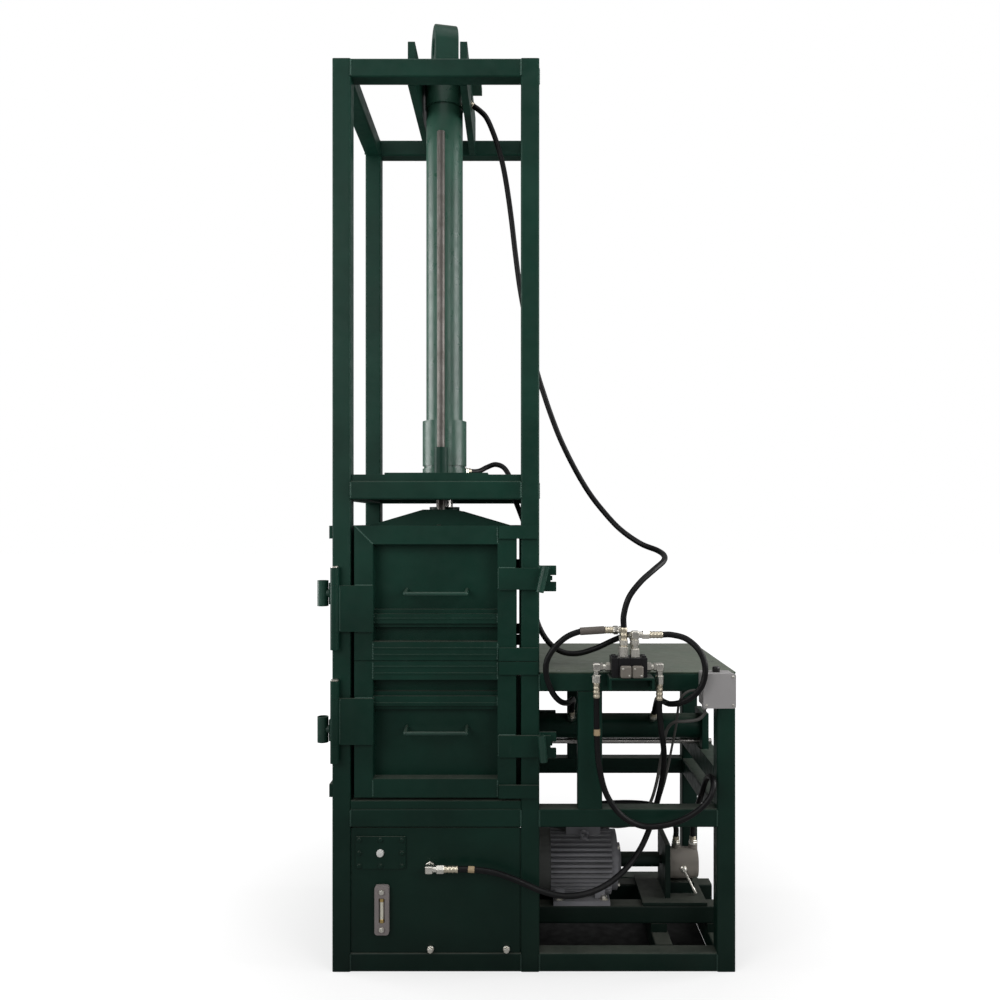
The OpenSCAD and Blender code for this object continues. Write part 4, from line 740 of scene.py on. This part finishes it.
class BALER_OT_hoses(bpy.types.Operator):
    """Lay the hydraulic hoses and the two cables along their routes"""

    bl_idname = "baler.hoses"
    bl_label = "Hoses"

    def lay(self, name, route, diameter, material, stiffness):
        path = smooth_route(route, sizes().route_steps)
        hose = round_curve(name, [[(place, 1.0) for place in path]], diameter / 2, 5)
        hose.data.materials.append(material)
        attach(hose, "frame")
        return hose

    def execute(self, context):
        sheath = finish_of("motor_cable")
        for node, route in ROUTES.items():
            if node == "motor_cable":
                hose = self.lay(node + "_run", route, sizes().motor_cable_diameter, sheath, "medium")
            else:
                hose = self.lay(node + "_run", route, sizes().hose_diameter, finish_of(node), "stiff")
            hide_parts(node)
        self.lay("control_cable_run", CONTROL_ROUTE, sizes().control_cable_diameter, sheath, "medium")
        return {"FINISHED"}


class BALER_OT_finishes(bpy.types.Operator):
    """Give every carried-over solid its finish"""

    bl_idname = "baler.finishes"
    bl_label = "Finishes"

    def execute(self, context):
        for name, node in NODES.items():
            node.data.materials.clear()
            node.data.materials.append(finish_of(name))
        return {"FINISHED"}


class BALER_OT_soft_edges(bpy.types.Operator):
    """Round the edges of the painted plates, doors, castings and the switch box"""

    bl_idname = "baler.soft_edges"
    bl_label = "Soft edges"

    def execute(self, context):
        for node, radius in SOFT_EDGES.items():
            piece = bpy.data.objects.new(node + "_finished", NODES[node].data.copy())
            context.scene.collection.objects.link(piece)
            only(piece)
            bpy.ops.object.mode_set(mode="EDIT")
            bpy.ops.mesh.select_all(action="SELECT")
            bpy.ops.mesh.remove_doubles(threshold=0.01 * MM)
            bpy.ops.mesh.dissolve_limited(angle_limit=math.radians(0.5))
            bpy.ops.object.mode_set(mode="OBJECT")
            round_edges(piece, radius)
            settle(piece, node + "_finished", BODY_OF[node], SLOT_OF[node], node,
                   material=finish_of(node))
        return {"FINISHED"}


class BALER_OT_fittings(bpy.types.Operator):
    """Model the hose nuts, elbows, crimped ends, drain plugs and the cover plug"""

    bl_idname = "baler.fittings"
    bl_label = "Fittings"

    def execute(self, context):
        nut, crimp = sizes().nut_radius / MM, sizes().ferrule_radius / MM
        elbow_half, swivel_turn = 10.5, 0.3
        neck = 0.66 * nut
        metal, ends = [], []
        for start, way, length in ELBOW_LEGS:
            leg = joined([hex_nut(nut, 0, 0.38 * length), turned(((neck, 0.3 * length), (neck, length))),
                          hex_nut(0.9 * nut, 0.55 * length, 0.78 * length)])
            metal.append(stand(leg, spot(*start), way))
        for start, way, length in HOSE_LEGS:
            collar = joined([hex_nut(nut, 0, 0.36 * length),
                             hex_nut(0.92 * nut, 0.40 * length, 0.58 * length)])
            metal.append(stand(collar, spot(*start), way))
            ends.append(stand(ferrule(crimp, 0.30 * length, length), spot(*start), way))
        for start, way, length in TIPS:
            swivel = joined([turned(((neck, 0), (neck, 0.35 * length))),
                             hex_nut(0.96 * nut, 0.26 * length, 0.52 * length)])
            metal.append(stand(swivel, spot(*start), way, swivel_turn))
            ends.append(stand(ferrule(crimp, 0.5 * length, length), spot(*start), way))
        elbow = block([-elbow_half] * 3, [elbow_half] * 3, 4.0, 3)
        metal.append(copies(elbow, [moved(*start) for start, way, length in TIPS]))
        drain = joined([turned(((9, 0), (9, 7), (8, 8))), hex_nut(7.5, 7, 16)])
        metal.append(copies(drain, [facing(spot(*start), FRONT) for start in DRAINS]))
        settle(joined(metal), "hose_nuts_and_elbows", "frame", "zinc", "pipe_fittings")
        tan = plated("crimped_ends", (0.62, 0.56, 0.44), (0.34, 0.29, 0.21), 0.5, 0.34)
        settle(joined(ends), "crimped_hose_ends", "frame", "zinc", "pipe_fittings", material=tan)
        plug = turned(((10, 0), (10, 6), (8.5, 9), (5, 10)))
        stand(plug, spot(*COVER_PLUG), FRONT)
        white = moulded("white_plug", (0.62, 0.62, 0.60), (0.5, 0.5, 0.48), 0.4, 0.35)
        settle(plug, "cover_plug", "frame", "zinc", "pipe_fittings", material=white)
        return {"FINISHED"}


class BALER_OT_hose_bands(bpy.types.Operator):
    """Wrap the tape on the pressure and return hoses and the sleeve on the side ram hose"""

    bl_idname = "baler.hose_bands"
    bl_label = "Hose bands"

    def band(self, start, end, thickness):
        start, end = spot(*start), spot(*end)
        reach = (end - start).length / MM
        outer = sizes().hose_diameter / 2 / MM + thickness
        edge = 0.6
        profile = ((outer - edge, 0), (outer, edge), (outer, reach - edge), (outer - edge, reach))
        return stand(turned(profile, 28), start, end - start)

    def execute(self, context):
        tape = moulded("tan_tape", colours().tape, (0.28, 0.21, 0.13), 0.5, 0.55)
        worn = moulded("worn_sleeve", (0.105, 0.090, 0.078), (0.15, 0.135, 0.12), 0.5, 0.6)
        tape_wall, sleeve_wall = 0.6, 2.4
        tapes = joined([self.band((712, -38, 665), (712.2, -38, 648), tape_wall),
                        self.band((386, -27, 286.8), (369, -27, 288), tape_wall)])
        settle(tapes, "hose_tape", "frame", "hose_rubber", material=tape)
        sleeve = self.band((733, -22, 926.5), (668, -23, 922.5), sleeve_wall)
        settle(sleeve, "hose_sleeve", "frame", "hose_rubber", material=worn)
        return {"FINISHED"}


class BALER_OT_valve(bpy.types.Operator):
    """Model the stacked sections of the control valve, their plugs and end caps"""

    bl_idname = "baler.valve"
    bl_label = "Control valve"

    def execute(self, context):
        front, back, foot, top = -68, -8, 806, 858
        cuts = (748, 766, 796.5, 827, 842)
        stack = [block((left, front, foot), (right, back, top), 1.6, 2)
                 for left, right in zip(cuts, cuts[1:])]
        plugs = [facing(spot(x, y, top), UP) for x in (757, 834.5) for y in (-50, -26)]
        stack.append(copies(turned(((7, 0), (7, 3), (6, 4)), 6), plugs))
        settle(joined(stack), "valve_sections", "frame", "valve_black", "control_valve")
        cap_lefts, cap_width, cap_face = (770, 801), 29, -84
        cap = block((0, cap_face, 807), (cap_width, front, 839), 5.0, 3)
        caps = copies(cap, [moved(left, 0, 0) for left in cap_lefts])
        beige = moulded("valve_caps", colours().cap, (0.20, 0.18, 0.155), 0.4, 0.5)
        settle(caps, "valve_caps", "frame", "valve_black", "control_valve", material=beige)
        screws = [facing(spot(left + x, cap_face, z), FRONT, 0.5)
                  for left in cap_lefts for x, z in ((6.5, 832), (22.5, 814))]
        settle(copies(slotted_head(2.6, 1.4), screws), "valve_cap_screws", "frame", "zinc")
        return {"FINISHED"}


class BALER_OT_gauge(bpy.types.Operator):
    """Fit the sight tube of the oil level gauge"""

    bl_idname = "baler.gauge"
    bl_label = "Level gauge"

    def execute(self, context):
        across, depth, low, high = 135.5, -4.5, 136.5, 201.5
        tube = ((5, 0), (5, 64))
        foot = ((6.5, 0), (6.5, 8), (5.5, 9))
        pale = moulded("sight_tube", (0.60, 0.58, 0.50), (0.45, 0.42, 0.32), 0.5, 0.2)
        sight = stand(turned(tube, 20), spot(across, depth, low + 0.5), UP)
        settle(sight, "gauge_sight_tube", "frame", "cast_metal", "level_gauge", material=pale)
        brass = plated("gauge_brass", (0.55, 0.40, 0.16), (0.30, 0.22, 0.10), 0.5, 0.3)
        places = [facing(spot(across, depth, height), way) for height, way in ((low, UP), (high, DOWN))]
        feet = copies(turned(foot, 20), places)
        settle(feet, "gauge_tube_ends", "frame", "cast_metal", "level_gauge", material=brass)
        return {"FINISHED"}


class BALER_OT_motor_trim(bpy.types.Operator):
    """Add the motor's lifting eye, terminal lid, glands and bolts"""

    bl_idname = "baler.motor_trim"
    bl_label = "Motor trim"

    def execute(self, context):
        axis_y, axis_z, bolt_circle = 222, 220, 76
        lean = Vector((0, -50, 82)).normalized()
        bpy.ops.mesh.primitive_torus_add(major_radius=11 * MM, minor_radius=3.6 * MM, major_segments=32,
                                         minor_segments=12, rotation=(math.radians(90), 0, 0),
                                         location=(0, 0, 17 * MM))
        ring = context.object
        apply_place(ring)
        bpy.ops.object.shade_smooth()
        shank = turned(((11, -3), (11, 3), (6, 5), (6, 9)))
        eye = stand(joined([shank, ring]), spot(692, 172, 301), lean)
        lid = block((639.5, 178.5, 339.5), (742.5, 265.5, 346), 2.0, 2)
        settle(joined([eye, lid]), "motor_eye_and_lid", "frame", "motor_paint")
        feet = [facing(spot(x, y, 137), UP, 0.4) for x in (620, 748) for y in (140, 304)]
        shield = []
        for angle in (math.radians(45 + 90 * k) for k in range(4)):
            bolt_y = axis_y + bolt_circle * math.cos(angle)
            bolt_z = axis_z + bolt_circle * math.sin(angle)
            shield.append(facing(spot(789, bolt_y, bolt_z), RIGHT, angle))
        lid_screws = [facing(spot(x, y, 346), UP, 0.6) for x in (647, 735) for y in (186, 258)]
        bolts = joined([copies(hex_head(16, 10, 26), feet), copies(hex_head(10, 7, 14), shield),
                        copies(slotted_head(3.5, 2), lid_screws)])
        settle(bolts, "motor_bolts", "frame", "zinc")
        glands = [stand(hex_nut(8, 0, 11), spot(741, 222, 334), RIGHT),
                  stand(hex_nut(6.5, 0, 10), spot(741, 203, 322), RIGHT)]
        settle(joined(glands), "terminal_glands", "frame", "button_plastic")
        return {"FINISHED"}


class BALER_OT_switch_trim(bpy.types.Operator):
    """Model the push button, the lid screws and the side gland of the switch box"""

    bl_idname = "baler.switch_trim"
    bl_label = "Switch box trim"

    def execute(self, context):
        low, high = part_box("switch_button")
        radius, height = (high.x - low.x) / 2 / MM, (high.z - low.z) / MM
        shares = ((0.94, 0), (1, 0.1), (1, 0.72), (0.95, 0.86), (0.8, 0.96), (0.4, 1))
        knob = turned([(across * radius, up * height) for across, up in shares], 32)
        middle = (low + high) / 2
        stand(knob, Vector((middle.x, middle.y, low.z)), UP)
        settle(knob, "push_button", BODY_OF["switch_button"], "button_plastic", "switch_button")
        corners = [facing(spot(x, -70, z), FRONT, 0.7) for x in (996, 1066) for z in (734, 809)]
        settle(copies(slotted_head(3.2, 1.6), corners), "lid_screws", "frame", "zinc")
        gland = joined([hex_nut(8.5, 0, 5), turned(((6.5, 0), (6.5, 9), (5, 11)))])
        side = stand(gland, spot(991, -28, 766), LEFT)
        settle(side, "side_gland", "frame", "box_plastic")
        return {"FINISHED"}


class BALER_OT_drip_tray(bpy.types.Operator):
    """Lay a near-black sheet under the power pack, as painted shade on the floor beneath it"""

    bl_idname = "baler.drip_tray"
    bl_label = "Shade sheet"

    def execute(self, context):
        # Painted shade: a near-black sheet stands for the shadow under the power pack
        shade_black = painted("painted_shade_sheet", (0.006, 0.0065, 0.006), 0.5, 0.0, 0.1)
        tray = block((560, 50, 0.5), (1040, 510, 3.5), 0.8, 2)
        settle(tray, "drip_tray", "frame", "dark_paint", material=shade_black)
        return {"FINISHED"}


class BALER_OT_door_ridges(bpy.types.Operator):
    """Raise the rolled ridges along the meeting rails and ribs of the front doors"""

    bl_idname = "baler.door_ridges"
    bl_label = "Door ridges"

    def execute(self, context):
        half, rise, left, right = 2.5, 1.6, 111.5, 445.5
        ridges = {"front_upper_door": ((856, 0), (874, 0), (953, 8)),
                  "front_lower_door": ((824, 0), (806, 0), (724, 8))}
        for node, places in ridges.items():
            strip = block((left, -rise, -half), (right, 1, half), 1.4, 2)
            strips = copies(strip, [moved(0, y, z) for z, y in places])
            settle(strips, node + "_ridges", BODY_OF[node], "green_paint")
        return {"FINISHED"}


class BALER_OT_pump_lever(bpy.types.Operator):
    """Fit the hand lever on the front of the gear pump"""

    bl_idname = "baler.pump_lever"
    bl_label = "Pump lever"

    def execute(self, context):
        pivot, end = spot(984, 180, 205), spot(1017, 172, 138)
        reach = (end - pivot).length / MM
        hub = ((10, 0), (10, 8), (7, 10), (7, 15), (5, 17))
        boss = stand(turned(hub), spot(984, 190, 205), FRONT)
        grip = ((3.6, 0), (3.6, 0.72 * reach), (5, 0.78 * reach), (5, 0.97 * reach), (3, reach))
        lever = stand(turned(grip, 20), pivot, end - pivot)
        settle(joined([boss, lever]), "pump_lever", "frame", "zinc")
        return {"FINISHED"}


class BALER_OT_fasteners(bpy.types.Operator):
    """Model the bolts of the flange and tank cover and the screws of the gauge and table"""

    bl_idname = "baler.fasteners"
    bl_label = "Fasteners"

    def execute(self, context):
        plug_at, press_axis = (131.5, 322), 280
        cover = [facing(spot(x, -1, z), FRONT, 0.02 * x + 0.05 * z)
                 for x in (74, 131.5, 189) for z in (287, 322, 357) if (x, z) != plug_at]
        flange = [facing(spot(press_axis + x, press_axis + y, 2560), UP, 0.3)
                  for x in (-92, 92) for y in (-62, 62)]
        green = joined([copies(hex_head(10, 6, 15), cover), copies(hex_head(21, 12, 32), flange)])
        settle(green, "painted_bolts", "frame", "green_paint", "fasteners")
        gauge = [facing(spot(135.5, -10, z), FRONT, turn) for z, turn in ((119, 0.5), (220, 1.2))]
        settle(copies(slotted_head(7.5, 6), gauge), "gauge_screws", "frame", "zinc", "fasteners")
        table = [facing(spot(x, y, 807.5), UP, 0.01 * x) for x in (613, 779, 945) for y in (25, 535)]
        table += [facing(spot(1065, y, 807.5), UP, 0.01 * y) for y in (DEPTH / 3, 2 * DEPTH / 3)]
        table_screws = copies(slotted_head(5.8, 2.6), table)
        settle(table_screws, "table_screws", "frame", "steel", "fasteners")
        return {"FINISHED"}


class BALER_OT_welds(bpy.types.Operator):
    """Run the weld beads along the seams of the frame and doors"""

    bl_idname = "baler.welds"
    bl_label = "Welds"

    def frame_runs(self):
        press_levels, side_levels, keepers = (0, 390, 1276, 2418), (0, 390, 757), (1062, 611)
        near, far = 50, 510
        press = [(x, y) for x in (near, far) for y in (0, DEPTH)]
        press += [(x, y) for x in (0, WIDTH) for y in (near, far)]
        side = [(x, y) for x in (WIDTH, 1040) for y in (0, DEPTH)] + [(1090, near), (1090, far)]
        runs = [upright(x, y, low + 3, low + 47) for low in press_levels for x, y in press]
        runs += [upright(x, y, low + 3, low + 47) for low in side_levels for x, y in side]
        runs += [upright(560.5, 6, z + foot, z + foot + 24) for z in keepers for foot in (12, -36)]
        return runs + [upright(x, 9, 53, 386) for x in (51, 509)]

    def door_runs(self, low, high, hinges, bars, ribs, mitred=False):
        left, right, start, end = 110, 447, 450, 495
        runs = []
        for z in hinges:
            runs += [((62, -1.5, z + side), (109, -1.5, z + side)) for side in (-62, 62)]
            runs.append(upright(22.5, -11, z - 60, z + 60))
        for z in bars:
            runs.append(upright(start, -1.5, z - 28, z + 28))
            runs += [((start, -1.5, z + side), (end, -1.5, z + side)) for side in (-29, 29)]
        for z in ribs:
            runs += [upright(x, 9, z - 12, z + 12) for x in (left + 0.5, right - 0.5)]
        joints = [(x, z) for x in (left, right) for z in (low + 2, high - 48)]
        if mitred:
            joints.remove((left, high - 48))
            runs.append(((62, 1.2, high - 2), (left, 1.2, high - 50)))
        return runs + [upright(x, 1.2, z, z + 46) for x, z in joints]

    def execute(self, context):
        weld_beads("frame_welds", "frame", self.frame_runs())
        upper = self.door_runs(841, 1205, (982,), (1062,), (953,), mitred=True)
        lower = self.door_runs(471, 839, (678,), (611,), (730,))
        left = self.door_runs(471, 1205, (678, 982), (650, 1021), (653, 835, 1018))
        weld_beads("upper_door_welds", BODY_OF["front_upper_door"], upper)
        weld_beads("lower_door_welds", BODY_OF["front_lower_door"], lower)
        turned_runs = [tuple((y, DEPTH - x, z) for x, y, z in run) for run in left]
        weld_beads("left_door_welds", BODY_OF["left_door"], turned_runs)
        return {"FINISHED"}


class BALER_OT_stage(bpy.types.Operator):
    """Set the pale floor, the soft lights and the white surroundings"""

    bl_idname = "baler.stage"
    bl_label = "Stage"

    def floor(self):
        size, grey, white = 60, (0.36, 0.36, 0.36, 1.0), (1.0, 1.0, 1.0, 1.0)
        near, far, near_glow, far_glow = 0.6, 2.6, 0.60, 1.0
        bpy.ops.mesh.primitive_plane_add(size=size, location=(0, 0, 0))
        floor = bpy.context.object
        floor.name = "studio_floor"
        material, tree, shader = new_material("studio_floor")
        place = add_node(tree, "ShaderNodeTexCoord", "Object", {})
        away = add_node(tree, "ShaderNodeVectorMath", "Value", {0: place}, operation="LENGTH")
        fade = ramp_node(tree, away, near, far, near_glow, far_glow)
        seen = add_node(tree, "ShaderNodeLightPath", "Is Camera Ray", {})
        feed(tree, shader, {
            "Base Color": grey, "Roughness": 0.9, "Specular IOR Level": 0.0, "Emission Color": white,
            "Emission Strength": math_node(tree, "MULTIPLY", seen, fade)})
        floor.data.materials.append(material)

    def lamp(self, name, place, target, size, power):
        bpy.ops.object.light_add(type="AREA", location=place)
        lamp = bpy.context.object
        lamp.name = name
        lamp.data.shape = "RECTANGLE"
        lamp.data.size, lamp.data.size_y = size
        lamp.data.energy = power
        lamp.rotation_euler = (Vector(target) - Vector(place)).to_track_quat("-Z", "Y").to_euler()

    def surroundings(self):
        mirrored, ambient = 0.30, 0.16
        world = bpy.data.worlds.new("white_surroundings")
        world.use_nodes = True
        tree = world.node_tree
        back = tree.nodes["Background"]
        back.inputs["Color"].default_value = (1.0, 1.0, 1.0, 1.0)
        seen = tree.nodes.new("ShaderNodeLightPath")
        straight = math_node(tree, "MAXIMUM", seen.outputs["Is Camera Ray"],
                             seen.outputs["Is Transmission Ray"])
        glossy = math_node(tree, "MULTIPLY", seen.outputs["Is Glossy Ray"], mirrored)
        straight = math_node(tree, "MAXIMUM", straight, glossy)
        tree.links.new(math_node(tree, "MAXIMUM", straight, ambient), back.inputs["Strength"])
        bpy.context.scene.world = world

    def execute(self, context):
        context.scene.view_settings.view_transform = "Standard"
        self.floor()
        self.surroundings()
        for name, place, target, size, power in LAMPS:
            self.lamp(name, place, target, size, power)
        return {"FINISHED"}


class BALER_PT_panel(bpy.types.Panel):
    """Lists the steps that dress the baler"""

    bl_idname = "BALER_PT_panel"
    bl_label = "Recycling baler"
    bl_space_type = "VIEW_3D"
    bl_region_type = "UI"
    bl_category = "Baler"

    def draw(self, context):
        for step in STEPS:
            self.layout.operator(step.bl_idname)


STEPS = (
    BALER_OT_camera, BALER_OT_hoses, BALER_OT_finishes, BALER_OT_soft_edges, BALER_OT_fittings,
    BALER_OT_hose_bands, BALER_OT_valve, BALER_OT_gauge, BALER_OT_motor_trim, BALER_OT_switch_trim,
    BALER_OT_drip_tray, BALER_OT_door_ridges, BALER_OT_pump_lever, BALER_OT_fasteners, BALER_OT_welds,
    BALER_OT_stage,
)
CLASSES = (BalerSizes, BalerColours, *STEPS, BALER_PT_panel)


def register():
    for cls in CLASSES:
        bpy.utils.register_class(cls)
    bpy.types.Scene.baler_sizes = bpy.props.PointerProperty(type=BalerSizes)
    bpy.types.Scene.baler_colours = bpy.props.PointerProperty(type=BalerColours)


def unregister():
    del bpy.types.Scene.baler_sizes
    del bpy.types.Scene.baler_colours
    for cls in reversed(CLASSES):
        bpy.utils.unregister_class(cls)


def main():
    register()
    bpy.ops.baler.camera()
    bpy.ops.baler.hoses()
    bpy.ops.baler.finishes()
    bpy.ops.baler.soft_edges()
    bpy.ops.baler.fittings()
    bpy.ops.baler.hose_bands()
    bpy.ops.baler.valve()
    bpy.ops.baler.gauge()
    bpy.ops.baler.motor_trim()
    bpy.ops.baler.switch_trim()
    bpy.ops.baler.drip_tray()
    bpy.ops.baler.door_ridges()
    bpy.ops.baler.pump_lever()
    bpy.ops.baler.fasteners()
    bpy.ops.baler.welds()
    bpy.ops.baler.stage()


if __name__ == "__main__":
    main()
